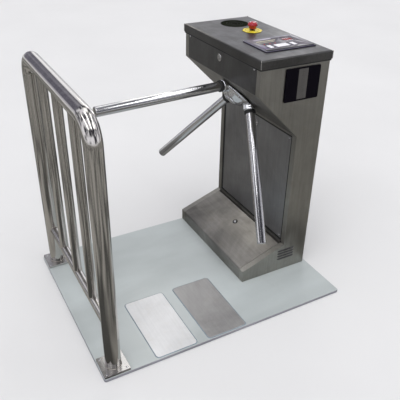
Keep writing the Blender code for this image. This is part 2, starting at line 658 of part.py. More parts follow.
# ---------------------------------------------------------------- locking mechanism
def make_chassis(mats, frame):
    """The bearing housing on its square plate, with the studs that the levers turn on."""
    half, high = CHASSIS_HALF, -PLATE_THICK - GAP
    low = high - CHASSIS_THICK
    bore = SHAFT_RADIUS + GAP
    chassis = box((-half, -half, low), (half, half, high))
    chassis = add("mechanism_chassis", chassis, mats["aluminium"], parent=frame)
    join(chassis, rod((0, 0, high - 0.001), (0, 0, -0.034), 0.030, 32))
    cut(chassis, rod((0, 0, -0.06), (0, 0, 0.02), bore, 24))
    studs = [
        (DETENT_PIVOT, CAM_LOW - 0.004),
        (PAWL_PIVOT, RATCHET_LOW - 0.004),
        ((PAWL_PIVOT[0], -PAWL_PIVOT[1]), RATCHET_LOW - 0.004),
    ]
    for (x, y), end in studs:
        join(chassis, rod((x, y, low + 0.001), (x, y, end), 0.004, 12))
    for x, y in studs_seats():
        cut(chassis, rod((x, y, low - 0.01), (x, y, high + 0.01), 0.0035, 12))


def studs_seats():
    """The four screw holes near the chassis corners."""
    reach = CHASSIS_HALF - 0.010
    return [(sx * reach, sy * reach) for sx in (-1, 1) for sy in (-1, 1)]


def make_detent(mats, frame):
    """The sprung lever whose roller rides on the index cam."""
    px, py = DETENT_PIVOT
    low, high = CAM_LOW + 0.001, CAM_LOW + 0.005
    line = [(px, py), (ROLLER_DISTANCE, 0)]
    lever = lever_outline(line, 0.009)
    pivot = (px, py, low)
    obj = add("detent_arm", prism(lever, "Z", low, high), mats["steel"], parent=frame, origin=pivot)
    place = Matrix.Translation(-Vector(pivot))
    cut(obj, transformed(rod((px, py, low - 0.01), (px, py, high + 0.01), 0.0043, 12), place))
    pin = rod((ROLLER_DISTANCE, 0, high - 0.001), (ROLLER_DISTANCE, 0, CAM_LOW + CAM_THICK), 0.003, 12)
    join(obj, transformed(pin, place))
    top = CAM_LOW + CAM_THICK
    profile = [(0.0033, high + GAP), (ROLLER_RADIUS, high + GAP), (ROLLER_RADIUS, top), (0.0033, top)]
    centre = (ROLLER_DISTANCE, 0, CAM_LOW + CAM_THICK / 2)
    roller = transformed(turned(profile, 24, closed=True), Matrix.Translation((ROLLER_DISTANCE, 0, 0)))
    add("detent_roller", roller, mats["steel"], parent=frame, origin=centre, smooth=True)


def lever_outline(line, radius, steps=6):
    """A bar with round ends about the two points of line."""
    a, b = Vector(line[0]), Vector(line[1])
    heading = math.atan2(b.y - a.y, b.x - a.x)
    points = []
    for centre, start in ((b, heading - math.pi / 2), (a, heading + math.pi / 2)):
        for step in range(steps + 1):
            angle = start + math.pi * step / steps
            points.append((centre.x + radius * math.cos(angle), centre.y + radius * math.sin(angle)))
    return points


def make_pawl(side, sign, mats, frame):
    """A locking pawl, its solenoid and the plunger that pushes it. sign is the side of the ratchet."""
    px, py = PAWL_PIVOT[0], sign * PAWL_PIVOT[1]
    low, high = RATCHET_LOW + 0.001, RATCHET_LOW + 0.009
    pivot = (px, py, low)
    place = Matrix.Translation(-Vector(pivot))
    nose_y = sign * 0.0605
    pawl = lever_outline([(px, py), (0.0, nose_y)], 0.005)
    pawl = add(f"pawl_{side}", prism(pawl, "Z", low, high), mats["steel"], parent=frame, origin=pivot)
    join(pawl, transformed(rod((px, py, low), (px, py, high), 0.0075, 16), place))
    ends = sorted((sign * 0.0515, nose_y))
    join(pawl, transformed(box((-0.003, ends[0], low + 0.0005), (0.003, ends[1], high - 0.0005)), place))
    cut(pawl, transformed(rod((px, py, low - 0.01), (px, py, high + 0.01), 0.0043, 12), place))

    z = (low + high) / 2
    start, end = (PLUNGER_X, sign * 0.0670, z), (PLUNGER_X, sign * 0.1050, z)
    plunger = rod(start, end, 0.0037, 16)
    add(f"plunger_{side}", plunger, mats["steel"], parent=frame, origin=start, smooth=True)

    ends = sorted((sign * 0.078, sign * 0.113))
    body_low, body_high = z - 0.016, z + 0.016
    floor = -PLATE_THICK - CHASSIS_THICK - 2 * GAP
    body = box((PLUNGER_X - 0.016, ends[0], body_low), (PLUNGER_X + 0.016, ends[1], body_high))
    body = add(f"solenoid_{side}", body, mats["coil"], parent=frame)
    inner = sorted((sign * 0.084, sign * 0.107))
    low = (PLUNGER_X - 0.011, inner[0], body_high - 0.001)
    join(body, box(low, (PLUNGER_X + 0.011, inner[1], floor)))
    cut(body, rod((PLUNGER_X, sign * 0.070, z), (PLUNGER_X, sign * 0.120, z), 0.0042, 16))


# ---------------------------------------------------------------- electronics
def make_electronics(mats):
    back = CAB_X1 - SHEET - 0.008
    board = box((back - 0.0016, 0.200, 0.700), (back, 0.340, 0.900))
    board = add("control_board", board, mats["board"])
    parts = (
        (0.215, 0.715, 0.110, 0.014, 0.012),
        (0.225, 0.860, 0.090, 0.016, 0.014),
        (0.250, 0.780, 0.040, 0.040, 0.006),
    )
    for y, z, dy, dz, height in parts:
        join(board, box((back - 0.001 - height, y, z), (back - 0.001, y + dy, z + dz)))
    outline = rounded_rectangle((back - 0.024, 0.100), (0.046, 0.110), 0.003, 2)
    add("power_supply", prism(outline, "Z", 0.220, 0.400), mats["aluminium"])


# ---------------------------------------------------------------- assembly
def materials():
    return {
        "base": material("base_plate_glaze", (0.50, 0.57, 0.55), 0.15),
        "brushed": material("brushed_stainless", (0.33, 0.32, 0.30), 0.35, 1.0),
        "mirror": material("polished_stainless", (0.62, 0.61, 0.58), 0.08, 1.0),
        "chrome": material("chrome_plate", (0.70, 0.71, 0.73), 0.06, 1.0),
        "steel": material("machined_steel", (0.50, 0.51, 0.52), 0.30, 1.0),
        "aluminium": material("cast_aluminium", (0.62, 0.63, 0.64), 0.45, 1.0),
        "black": material("black_plastic", (0.012, 0.012, 0.015), 0.25),
        "lens": material("indicator_lens", (0.30, 0.29, 0.28), 0.30),
        "smoked": material("smoked_acrylic", (0.015, 0.015, 0.017), 0.10),
        "rubber": material("door_rubber", (0.02, 0.02, 0.02), 0.80),
        "yellow": material("legend_yellow", (0.80, 0.62, 0.03), 0.45),
        "red": material("button_red", (0.60, 0.01, 0.02), 0.30),
        "panel": material("panel_lavender", (0.17, 0.16, 0.21), 0.40),
        "red_lens": material("display_window", (0.25, 0.03, 0.03), 0.15),
        "white": material("key_white", (0.75, 0.75, 0.78), 0.40),
        "coil": material("solenoid_coil", (0.10, 0.10, 0.11), 0.55),
        "board": material("circuit_board", (0.02, 0.16, 0.07), 0.50),
    }


def main():
    clear_scene()
    mats = materials()
    make_base(mats)
    make_rail(mats)
    make_cabinet(mats)
    make_lock("lid_lock", CAB_X0, LID_LOCK_Z, LID_TONGUE, mats)
    make_lock("access_lock", ACCESS_X, ACCESS_LOCK_Z, ACCESS_TONGUE, mats)
    hinge = empty("lid_hinge_axis", Matrix.Translation((HINGE_X, MID_Y, HINGE_Z)))
    make_lid(mats, hinge)
    make_lid_parts(mats, hinge)
    make_lid_hinge(mats, hinge)
    make_keys(mats)
    make_estop_button(mats)
    tripod_axis = empty("tripod_axis", MECHANISM)
    make_tripod(mats, tripod_axis)
    mechanism = empty("mechanism_origin", MECHANISM)
    make_chassis(mats, mechanism)
    make_detent(mats, mechanism)
    make_pawl("entry", -1, mats, mechanism)
    make_pawl("exit", 1, mats, mechanism)
    make_electronics(mats)


main()
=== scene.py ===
"""The looks of the visitor counter turnstile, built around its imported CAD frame.

Axes as in the CAD: X across the passage towards the cabinet, Y along it, Z up, metres.
"""

import json
import math
from itertools import product

import bmesh
import bpy
from mathutils import Matrix, Vector


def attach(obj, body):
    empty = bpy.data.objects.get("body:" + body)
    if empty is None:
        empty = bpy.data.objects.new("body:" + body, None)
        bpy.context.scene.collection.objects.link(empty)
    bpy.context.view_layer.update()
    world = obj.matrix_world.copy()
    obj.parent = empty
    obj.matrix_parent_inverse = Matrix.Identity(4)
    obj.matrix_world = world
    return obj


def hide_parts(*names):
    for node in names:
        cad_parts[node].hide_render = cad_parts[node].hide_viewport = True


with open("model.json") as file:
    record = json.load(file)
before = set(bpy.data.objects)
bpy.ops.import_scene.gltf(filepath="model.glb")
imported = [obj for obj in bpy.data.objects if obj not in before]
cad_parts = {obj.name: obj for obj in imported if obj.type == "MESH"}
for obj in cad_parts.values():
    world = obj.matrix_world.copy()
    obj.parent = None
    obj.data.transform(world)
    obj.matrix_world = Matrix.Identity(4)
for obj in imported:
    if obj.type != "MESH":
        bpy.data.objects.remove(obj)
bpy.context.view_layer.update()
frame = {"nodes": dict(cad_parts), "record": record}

UP = (0.0, 0.0, 1.0)
TO_PASSAGE, TO_OUTSIDE = (-1, 0, 0), (1, 0, 0)
CORNER_SIGNS = tuple(product((-1, 1), (-1, 1)))

MID_Y = 0.114  # middle of the cabinet's length
END_FACES = (("front", -0.170, -1), ("rear", 0.398, 1))  # end plate, its outer Y, the way out
LID_X, LID_Y, LID_TOP = (0.197, 0.514), (-0.176, 0.404), 0.980
FLAT_AREA = 0.0012  # softened faces larger than this are shaded flat

# The tripod's frame: its Z runs along the shaft, out of the 45 degree face and down.
S45 = math.sqrt(0.5)
MECHANISM = Matrix((
    (-S45, 0, -S45, 0.2923),
    (0, 1, 0, MID_Y),
    (S45, 0, -S45, 0.7557),
    (0, 0, 0, 1),
))


# ---------------------------------------------------------------- shader helpers
def add_node(tree, kind, inputs=None, **settings):
    """A shader node with its settings, and its inputs set to values or linked to sockets."""
    node = tree.nodes.new("ShaderNode" + kind)
    for key, value in settings.items():
        setattr(node, key, value)
    for key, value in (inputs or {}).items():
        if isinstance(value, bpy.types.NodeSocket):
            tree.links.new(value, node.inputs[key])
        else:
            node.inputs[key].default_value = value
    return node


def noise(tree, stretch, detail=3.0, roughness=0.55, distortion=0.0):
    """Noise over the piece's own coordinates. stretch is the cells per metre, along X, Y and Z."""
    if not isinstance(stretch, tuple):
        stretch = (stretch,) * 3
    place = add_node(tree, "TexCoord").outputs["Object"]
    place = add_node(tree, "Mapping", {"Vector": place, "Scale": stretch}).outputs["Vector"]
    values = {"Vector": place, "Scale": 1.0, "Detail": detail}
    values.update(Roughness=roughness, Distortion=distortion)
    return add_node(tree, "TexNoise", values).outputs["Fac"]


def remap(tree, value, low, high, start=0.3, end=0.7):
    """The value's range start to end, stretched to low to high and clamped."""
    inputs = {"Value": value, "From Min": start, "From Max": end, "To Min": low, "To Max": high}
    return add_node(tree, "MapRange", inputs).outputs["Result"]


def blend_colours(tree, factor, first, second, mode="MIX"):
    """first blended into second. Each argument is a socket, a colour or a number."""
    node = add_node(tree, "Mix", data_type="RGBA", blend_type=mode)
    for number, value in ((0, factor), (6, first), (7, second)):
        socket = node.inputs[number]
        if isinstance(value, bpy.types.NodeSocket):
            tree.links.new(value, socket)
        elif isinstance(value, tuple):
            socket.default_value = (*value, 1.0)
        else:
            socket.default_value = value
    return node.outputs[2]


def mottled(tree, cells, low, high):
    """A colour that wanders from low to high with the noise."""
    return blend_colours(tree, remap(tree, cells, 0.0, 1.0), low, high)


def spotted(tree, cells, most, start, end, under, colour):
    """The colour under, with spots where the noise passes start, full and most opaque at end."""
    return blend_colours(tree, remap(tree, cells, 0.0, most, start, end), under, colour)


def scaled(colour, factor):
    """A constant colour made lighter or darker."""
    return tuple(min(1.0, c * factor) for c in colour)


def new_material(name, metallic=0.0, **sockets):
    """A material with constant values on its shader's sockets, named with _ for each space."""
    made = bpy.data.materials.new(name)
    made.use_nodes = True
    shader = made.node_tree.nodes["Principled BSDF"]
    shader.inputs["Metallic"].default_value = metallic
    for key, value in sockets.items():
        shader.inputs[key.replace("_", " ")].default_value = value
    return made, made.node_tree, shader


def surface(tree, shader, colour, roughness):
    """Both sockets every finish fills from its textures."""
    tree.links.new(colour, shader.inputs["Base Color"])
    tree.links.new(roughness, shader.inputs["Roughness"])


def bump(tree, shader, height, distance, strength=0.5, under=None):
    """Relief of a height in metres, on top of the relief under it."""
    inputs = {"Height": height, "Distance": distance, "Strength": strength}
    if under is not None:
        inputs["Normal"] = under
    node = add_node(tree, "Bump", inputs)
    tree.links.new(node.outputs["Normal"], shader.inputs["Normal"])
    return node.outputs["Normal"]


# ---------------------------------------------------------------- finishes
def brushed_steel(name, colour, roughness, grain, cloud=0.16, streak=0.10, metallic=1.0):
    """Sheet ground in one direction, with fine lines, broad cloudy patches and handling marks."""
    made, tree, shader = new_material(name, metallic)
    across, along = 260.0, 5.0
    fine_stretch = tuple(along * 4 if axis == grain else across * 4 for axis in "XYZ")
    line_stretch = tuple(along if axis == grain else across * 0.4 for axis in "XYZ")
    fine = noise(tree, fine_stretch, 2.0)
    lines = noise(tree, line_stretch, 4.0, 0.65)
    patches = noise(tree, 4.5, 5.0, 0.6, 0.6)
    marks = noise(tree, 17.0, 6.0, 0.7)
    tone = mottled(tree, patches, scaled(colour, 1 - cloud), scaled(colour, 1 + cloud))
    warm = (colour[0] * 0.93, colour[1] * 0.88, colour[2] * 0.78)
    tone = spotted(tree, marks, 0.35, 0.52, 0.75, tone, warm)
    shade = remap(tree, lines, 1 - streak, 1 + streak)
    channels = {"Red": shade, "Green": shade, "Blue": shade}
    grey = add_node(tree, "CombineColor", channels).outputs["Color"]
    tone = blend_colours(tree, 1.0, tone, grey, "MULTIPLY")
    rough = remap(tree, lines, roughness - 0.06, roughness + 0.05)
    smear = remap(tree, marks, -0.05, 0.09)
    rough = add_node(tree, "Math", {0: rough, 1: smear}, operation="ADD").outputs["Value"]
    surface(tree, shader, tone, rough)
    first = bump(tree, shader, fine, 0.00008, 0.35)
    bump(tree, shader, patches, 0.0006, 0.12, first)
    return made


def polished_metal(
    name, colour, roughness, haze=0.05, stretch=(40.0, 40.0, 5.0), specks=0.15, ripple=0.0012
):
    """Buffed tube or plated casting: thin polishing haze, faint specks and soft waviness."""
    made, tree, shader = new_material(name, 1.0)
    haze_map = noise(tree, stretch, 5.0, 0.6)
    dots = noise(tree, 150.0, 3.0, 0.7)
    wave = noise(tree, (16.0, 16.0, 7.0), 2.0)
    tone = mottled(tree, haze_map, scaled(colour, 0.88), scaled(colour, 1.06))
    tone = spotted(tree, dots, specks, 0.60, 0.74, tone, scaled(colour, 0.55))
    surface(tree, shader, tone, remap(tree, haze_map, roughness, roughness + haze))
    bump(tree, shader, wave, ripple, 0.18)
    return made


def coated_plate(name, colour):
    """The floor plate's glassy pale coating: cloudy depth, dust and faint shoe scuffs."""
    made, tree, shader = new_material(name, Coat_Weight=0.55, Coat_Roughness=0.20)
    clouds = noise(tree, (1.6, 3.6, 3.0), 3.0, 0.5, 0.4)
    dust = noise(tree, 55.0, 6.0, 0.75)
    scuffs = noise(tree, (9.0, 2.4, 5.0), 6.0, 0.7, 0.3)
    tone = mottled(tree, clouds, scaled(colour, 0.84), scaled(colour, 1.14))
    tone = spotted(tree, dust, 0.05, 0.50, 0.75, tone, (0.72, 0.73, 0.71))
    tone = spotted(tree, scuffs, 0.07, 0.58, 0.72, tone, scaled(colour, 0.72))
    surface(tree, shader, tone, remap(tree, clouds, 0.31, 0.40))
    bump(tree, shader, dust, 0.0002, 0.12)
    return made


def moulded(name, colour, roughness, grain, wear, size=600.0, **sockets):
    """Moulded plastic or paint: a fine pebbled skin, slight mottling and rubbed spots."""
    made, tree, shader = new_material(name, **sockets)
    pebble = noise(tree, size, 2.0)
    cells = noise(tree, 35.0, 4.0)
    rubbed = noise(tree, 90.0, 6.0, 0.75)
    tone = mottled(tree, cells, scaled(colour, 0.86), scaled(colour, 1.12))
    tone = spotted(tree, rubbed, 0.14, 0.60, 0.78, tone, wear)
    surface(tree, shader, tone, remap(tree, cells, roughness - 0.05, roughness + 0.08))
    bump(tree, shader, pebble, grain, 0.4)
    return made


def cast_metal(name, colour, roughness):
    """Sand-cast or machined inner metal: coarse skin, oil stains and dull patches."""
    made, tree, shader = new_material(name, 1.0)
    skin_map = noise(tree, 320.0, 5.0, 0.7)
    stain = noise(tree, 28.0, 6.0, 0.65, 0.8)
    tone = mottled(tree, stain, scaled(colour, 0.78), scaled(colour, 1.10))
    surface(tree, shader, tone, remap(tree, stain, roughness - 0.08, roughness + 0.10))
    bump(tree, shader, skin_map, 0.0002, 0.4)
    return made


def coil_wrap(name):
    """A solenoid's wound coil under its dark wrapping."""
    made, tree, shader = new_material(name)
    place = add_node(tree, "TexCoord").outputs["Object"]
    rings = {"Vector": place, "Scale": 260.0, "Distortion": 0.4}
    turns = add_node(tree, "TexWave", rings, bands_direction="Y").outputs["Fac"]
    tone = blend_colours(tree, turns, (0.030, 0.028, 0.026), (0.16, 0.07, 0.03))
    surface(tree, shader, tone, remap(tree, turns, 0.35, 0.6, 0.0, 1.0))
    bump(tree, shader, turns, 0.0004, 0.5)
    return made


def circuit_laminate(name):
    """Green board laminate with a faint pattern of tracks."""
    made, tree, shader = new_material(name, Coat_Weight=0.4)
    place = add_node(tree, "TexCoord").outputs["Object"]
    tracks = {"Vector": place, "Scale": 55.0, "Mortar Size": 0.012}
    tracks["Color1"] = (0.012, 0.10, 0.045, 1)
    tracks["Color2"] = (0.016, 0.13, 0.055, 1)
    tracks["Mortar"] = (0.10, 0.28, 0.14, 1)
    cells = add_node(tree, "TexBrick", tracks)
    weave = noise(tree, 400.0, 3.0)
    surface(tree, shader, cells.outputs["Color"], remap(tree, weave, 0.35, 0.55))
    bump(tree, shader, cells.outputs["Fac"], 0.0002, 0.4)
    return made


def window(name, colour, tint, roughness, coat, specular):
    """Tinted acrylic seen against a dark inside, with fingerprints and a slight haze."""
    sockets = {"Coat_Weight": coat, "Coat_Roughness": 0.05, "Specular_IOR_Level": specular}
    made, tree, shader = new_material(name, **sockets)
    prints = noise(tree, 60.0, 6.0, 0.7, 1.5)
    depth = noise(tree, 14.0, 3.0)
    tone = mottled(tree, depth, colour, tint)
    surface(tree, shader, tone, remap(tree, prints, roughness, roughness + 0.20, 0.45, 0.75))
    return made


STEEL = (0.25, 0.242, 0.225)
MATERIALS, SLOTS = {}, {}


def add_finish(name, slot, maker, *settings, **more):
    """A material under its name, for pieces that stand in the record's slot."""
    MATERIALS[name] = maker(name, *settings, **more)
    SLOTS[name] = slot


# Ground sheets: colour, roughness, grain, clouds, streaks, metallic.
# All rows are one brushed stainless. Their colours differ by face as painted light and shade: end
# plates and access panel lighter, outer side a little darker, head side and lid much darker.
for name, *settings in (
    ("sheet_upright", (0.205, 0.205, 0.205), 0.38, "Z"),
    ("sheet_head", (0.128, 0.128, 0.127), 0.38, "Z", 0.26, 0.12),
    ("sheet_access", (0.295, 0.295, 0.302), 0.38, "Z", 0.18, 0.10),
    ("sheet_front", (0.325, 0.318, 0.292), 0.38, "Z"),
    ("sheet_lengthwise", STEEL, 0.36, "Y"),
    ("sheet_slope", scaled(STEEL, 1.04), 0.38, "Y", 0.42, 0.12),
    ("lid_sheet", (0.110, 0.109, 0.107), 0.37, "Y", 0.22, 0.14),
    # The treads are one steel: the first is a lit copy with painted highlight, the second a shaded
    # copy with painted shade.
    ("tread_light", (0.715, 0.72, 0.725), 0.42, "Y", 0.13, 0.05, 0.35),
    ("tread_dark", (0.36, 0.355, 0.35), 0.42, "Y", 0.20, 0.06, 0.45),
):
    add_finish(name, "brushed_stainless", brushed_steel, *settings)

# Polished and plated metal: colour, roughness, haze, stretch, specks, ripple.
for name, slot, *settings in (
    ("polished_tube", "polished_stainless", (0.60, 0.58, 0.55), 0.10, 0.08),
    ("polished_plate", "polished_stainless", (0.55, 0.54, 0.53), 0.20, 0.06, 12.0, 0.05, 0.0005),
    ("arm_chrome", "chrome_plate", (0.62, 0.62, 0.63), 0.09, 0.07, 9.0),
    ("hub_chrome", "chrome_plate", (0.72, 0.73, 0.76), 0.07, 0.06, 60.0, 0.10),
    ("screw_steel", "chrome_plate", (0.55, 0.55, 0.55), 0.18, 0.10, 90.0),
):
    add_finish(name, slot, polished_metal, *settings)

# Rough metal: colour, roughness.
add_finish("weld_bead", "polished_stainless", cast_metal, (0.42, 0.39, 0.35), 0.30)
add_finish("aluminium", "cast_aluminium", cast_metal, (0.56, 0.57, 0.58), 0.42)
add_finish("machined", "machined_steel", cast_metal, (0.46, 0.46, 0.47), 0.28)

# Plastic, rubber, paint and print: colour, roughness, grain height, rubbed colour, grain size.
for name, slot, *settings in (
    # Blue-grey sealing bead round the treads, partly its own colour, partly painted shadow of the
    # gap.
    ("sealant", "door_rubber", (0.22, 0.27, 0.31), 0.45, 0.0002, (0.35, 0.38, 0.40)),
    ("black_rubber", "door_rubber", (0.014, 0.014, 0.014), 0.62, 0.00020, (0.06, 0.06, 0.06)),
    ("diffuser", "indicator_lens", (0.072, 0.068, 0.064), 0.40, 0.00010, (0.19, 0.18, 0.17), 260.0),
    ("label_lavender", "key_white", (0.42, 0.38, 0.46), 0.45, 0.00006, (0.5, 0.48, 0.5)),
    ("panel_violet", "panel_lavender", (0.105, 0.070, 0.16), 0.40, 0.00006, (0.2, 0.17, 0.26)),
    ("legend_yellow", "legend_yellow", (0.83, 0.68, 0.035), 0.42, 0.00008, (0.55, 0.45, 0.08)),
    ("panel_face", "panel_lavender", (0.125, 0.115, 0.135), 0.38, 0.00010, (0.24, 0.23, 0.28)),
    ("panel_border", "panel_lavender", (0.045, 0.040, 0.075), 0.34, 0.00008, (0.10, 0.09, 0.14)),
    ("key_white", "key_white", (0.78, 0.77, 0.80), 0.36, 0.00010, (0.55, 0.54, 0.56)),
    ("printed_cream", "key_white", (0.50, 0.47, 0.33), 0.50, 0.00006, (0.40, 0.38, 0.30)),
    ("digit_red", "button_red", (0.50, 0.03, 0.03), 0.30, 0.00002, (0.6, 0.05, 0.05)),
):
    add_finish(name, slot, moulded, *settings)

add_finish(
    "black_plastic", "black_plastic", moulded,
    (0.0030, 0.0022, 0.0048), 0.34, 0.00006, (0.010, 0.009, 0.014), Specular_IOR_Level=0.05,
)
add_finish(
    "button_red", "button_red", moulded,
    (0.36, 0.006, 0.018), 0.20, 0.00004, (0.35, 0.02, 0.03), 300.0, Coat_Weight=0.4,
)

# Windows: colour, tint, roughness, coat, specular.
add_finish(
    "smoked", "smoked_acrylic", window,
    (0.009, 0.010, 0.008), (0.018, 0.021, 0.014), 0.30, 0.0, 0.0,
)
add_finish(
    "red_window", "display_window", window,
    (0.075, 0.010, 0.014), (0.15, 0.025, 0.03), 0.12, 0.3, 0.4,
)

add_finish("floor_plate", "base_plate_glaze", coated_plate, (0.455, 0.495, 0.492))
add_finish(
    "plate_edge", "base_plate_glaze", brushed_steel,
    (0.34, 0.34, 0.38), 0.40, "X", 0.2, 0.08, 0.25,
)
add_finish("coil", "solenoid_coil", coil_wrap)
add_finish("board", "circuit_board", circuit_laminate)


# ---------------------------------------------------------------- mesh helpers
def circle(centre, axis, radius, segments, side=None):
    """Points around an axis, the first of them at side."""
    axis = Vector(axis).normalized()
    first = Vector(side) if side else axis.orthogonal().normalized()
    second = axis.cross(first)
    angles = [2 * math.pi * i / segments for i in range(segments)]
    return [Vector(centre) + radius * (math.cos(a) * first + math.sin(a) * second) for a in angles]


def skin(bm, loops, closed=False):
    """Faces through loops of equally many points, capped at both ends or joined into a ring."""
    rows = [[bm.verts.new(p) for p in loop] for loop in loops]
    count = len(rows[0])
    pairs = list(zip(rows, rows[1:]))
    if closed:
        pairs.append((rows[-1], rows[0]))
    else:
        bm.faces.new(rows[0])
        bm.faces.new(rows[-1])
    for low, high in pairs:
        for i in range(count):
            j = (i + 1) % count
            bm.faces.new((low[i], low[j], high[j], high[i]))


def new_object(name, bm, mesh_name=None):
    """A linked object holding the finished bmesh."""
    mesh = bpy.data.meshes.new(mesh_name or name)
    bm.to_mesh(mesh)
    bm.free()
    obj = bpy.data.objects.new(name, mesh)
    bpy.context.collection.objects.link(obj)
    return obj


def shade(mesh, material, angle):
    """The material and smooth shading, with edges past the angle kept sharp."""
    mesh.materials.clear()
    mesh.materials.append(MATERIALS[material])
    mesh.shade_smooth()
    mesh.set_sharp_from_angle(angle=math.radians(angle))


def evaluated_mesh(obj):
    """A new mesh with the object's modifiers applied."""
    bpy.context.view_layer.update()
    graph = bpy.context.evaluated_depsgraph_get()
    return bpy.data.meshes.new_from_object(obj.evaluated_get(graph))


def build(name, material, body, shapes, angle=35, matrix=None):
    """One smooth-shaded piece made of the given shapes, riding on a CAD body."""
    bm = bmesh.new()
    for loops, closed in shapes:
        skin(bm, loops, closed)
    bmesh.ops.recalc_face_normals(bm, faces=bm.faces)
    if matrix is not None:
        bm.transform(matrix)
    obj = new_object(name, bm)
    shade(obj.data, material, angle)
    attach(obj, body)
    return obj


def turned(profile, segments, base=(0, 0, 0), axis=UP, closed=False):
    """A turned shape from (radius, height) points, standing on base along axis."""
    axis = Vector(axis).normalized()
    side = axis.orthogonal().normalized()
    return [circle(Vector(base) + axis * h, axis, r, segments, side) for r, h in profile], closed


def ring(centre, axis, radius, thickness, segments=40, around=10):
    """A torus: a weld bead, a rim or an O-ring."""
    profile = []
    for i in range(around):
        a = 2 * math.pi * i / around
        profile.append((radius + thickness * math.cos(a), thickness * math.sin(a)))
    return turned(profile, segments, centre, axis, closed=True)


def pipe(path, radius, segments, side):
    """A tube along a path in one plane at right angles to side."""
    path = [Vector(p) for p in path]
    loops = []
    for i, point in enumerate(path):
        ahead = path[min(i + 1, len(path) - 1)] - path[max(i - 1, 0)]
        loops.append(circle(point, ahead, radius, segments, side))
    return loops, False


def rounded_rectangle(centre, size, radius, steps):
    """The corner points of a rounded rectangle, in the plane, steps to a corner."""
    (cx, cy), (w, h) = centre, size
    points = []
    for quarter, (sx, sy) in enumerate(((1, 1), (-1, 1), (-1, -1), (1, -1))):
        for step in range(steps + 1):
            a = math.pi / 2 * (quarter + step / steps)
            x = sx * (w / 2 - radius) + radius * math.cos(a)
            points.append((cx + x, cy + sy * (h / 2 - radius) + radius * math.sin(a)))
    return points


def rectangle_loop(centre, size, grow, z, radius, steps=6):
    """A level rounded rectangle at height z, grown outwards on every side."""
    grown = (size[0] + 2 * grow, size[1] + 2 * grow)
    return [(x, y, z) for x, y in rounded_rectangle(centre, grown, radius, steps)]


def plate(centre, size, low, high, corner, edge=0.0002):
    """A level plate with rounded corners and a softened upper edge."""
    loops = []
    for inset, z in ((0, low), (0, high - edge), (edge * 0.3, high - edge * 0.3), (edge, high)):
        loops.append(rectangle_loop(centre, size, -inset, z, max(corner - inset, 0.0002)))
    return loops, False


def pan_screw(base, axis, radius, height):
    """A domed screw head with a round recess for the driver."""
    socket = radius * 0.42
    profile = [
        (radius, 0.0),
        (radius, height * 0.25),
        (radius * 0.86, height * 0.72),
        (radius * 0.55, height),
        (socket, height * 1.02),
        (socket, height * 0.35),
    ]
    return turned(profile, 24, base, axis)


BODY_OF = {
    member: body
    for body, members in frame["record"]["behaviour"]["bodies"].items()
    for member in members
}


def soften(node, material, width=0.0006, segments=2, angle=32):
    """A copy of a CAD node with its sharp edges rounded, standing for that node."""
    bm = bmesh.new()
    bm.from_mesh(frame["nodes"][node].data)
    bmesh.ops.remove_doubles(bm, verts=bm.verts, dist=0.00002)
    limit = math.radians(1.0)
    bmesh.ops.dissolve_limit(bm, angle_limit=limit, verts=bm.verts, edges=bm.edges)
    obj = new_object(node + "_finished", bm, node + "_sheet")
    modifier = obj.modifiers.new("edges", "BEVEL")
    modifier.width = width
    modifier.segments = segments
    modifier.limit_method = "ANGLE"
    modifier.angle_limit = math.radians(angle)
    modifier.harden_normals = False
    shade(obj.data, material, angle)
    for face in obj.data.polygons:
        if face.area > FLAT_AREA:
            face.use_smooth = False
    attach(obj, BODY_OF[node])
    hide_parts(node)


def finish_node(node, material):
    """A CAD node that keeps its shape and gets its finished material."""
    slots = frame["nodes"][node].data.materials
    slots.clear()
    slots.append(MATERIALS[material])


# ---------------------------------------------------------------- floor plate and guard rail
RAIL_X, RAIL_Y = -0.472, 0.349
RAIL_RADIUS, RAIL_TOP, RAIL_BEND = 0.029, 0.948, 0.070
BAR_RADIUS, LOWER_RADIUS, LOWER_Z = 0.0165, 0.0172, 0.190
PLATE_TOP = 0.0123
FLANGE_TOP = PLATE_TOP + 0.010


def make_floor_plate():
    """The base plate with its edge band, and the two treads each ringed by a blue-grey sealing bead
    that also paints the shadow gap round it.
    """
    soften("base_plate", "floor_plate", 0.0015, 3)
    soften("tread_plate_left", "tread_light")
    soften("tread_plate_right", "tread_dark")
    beads = []
    for centre in ((-0.235, -0.232), (-0.020, -0.234)):
        loops = []
        for grow, rise in ((-0.0010, 0.0), (-0.0010, 0.0016), (0.0014, 0.0011), (0.0036, 0.0)):
            z = PLATE_TOP + rise
            loops.append(rectangle_loop(centre, (0.166, 0.320), grow, z, 0.012 + grow))
        beads.append((loops, True))
    build("tread_sealant", "sealant", "structure", beads, 50)

    band = []
    for grow, z in ((0.0004, 0.0006), (0.0004, 0.0112), (-0.0010, 0.0112), (-0.0010, 0.0006)):
        band.append(rectangle_loop((0, 0), (1.046, 0.800), grow, z, 0.008))
    build("base_plate_edge_band", "plate_edge", "structure", [(band, True)])


def rail_tube(name, path, radius, segments, node):
    """A smooth tube along a path in the rail's plane, standing for a CAD node."""
    tube = pipe(path, radius, segments, (1, 0, 0))
    obj = build(name, "polished_tube", "structure", [tube], 50)
    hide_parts(node)


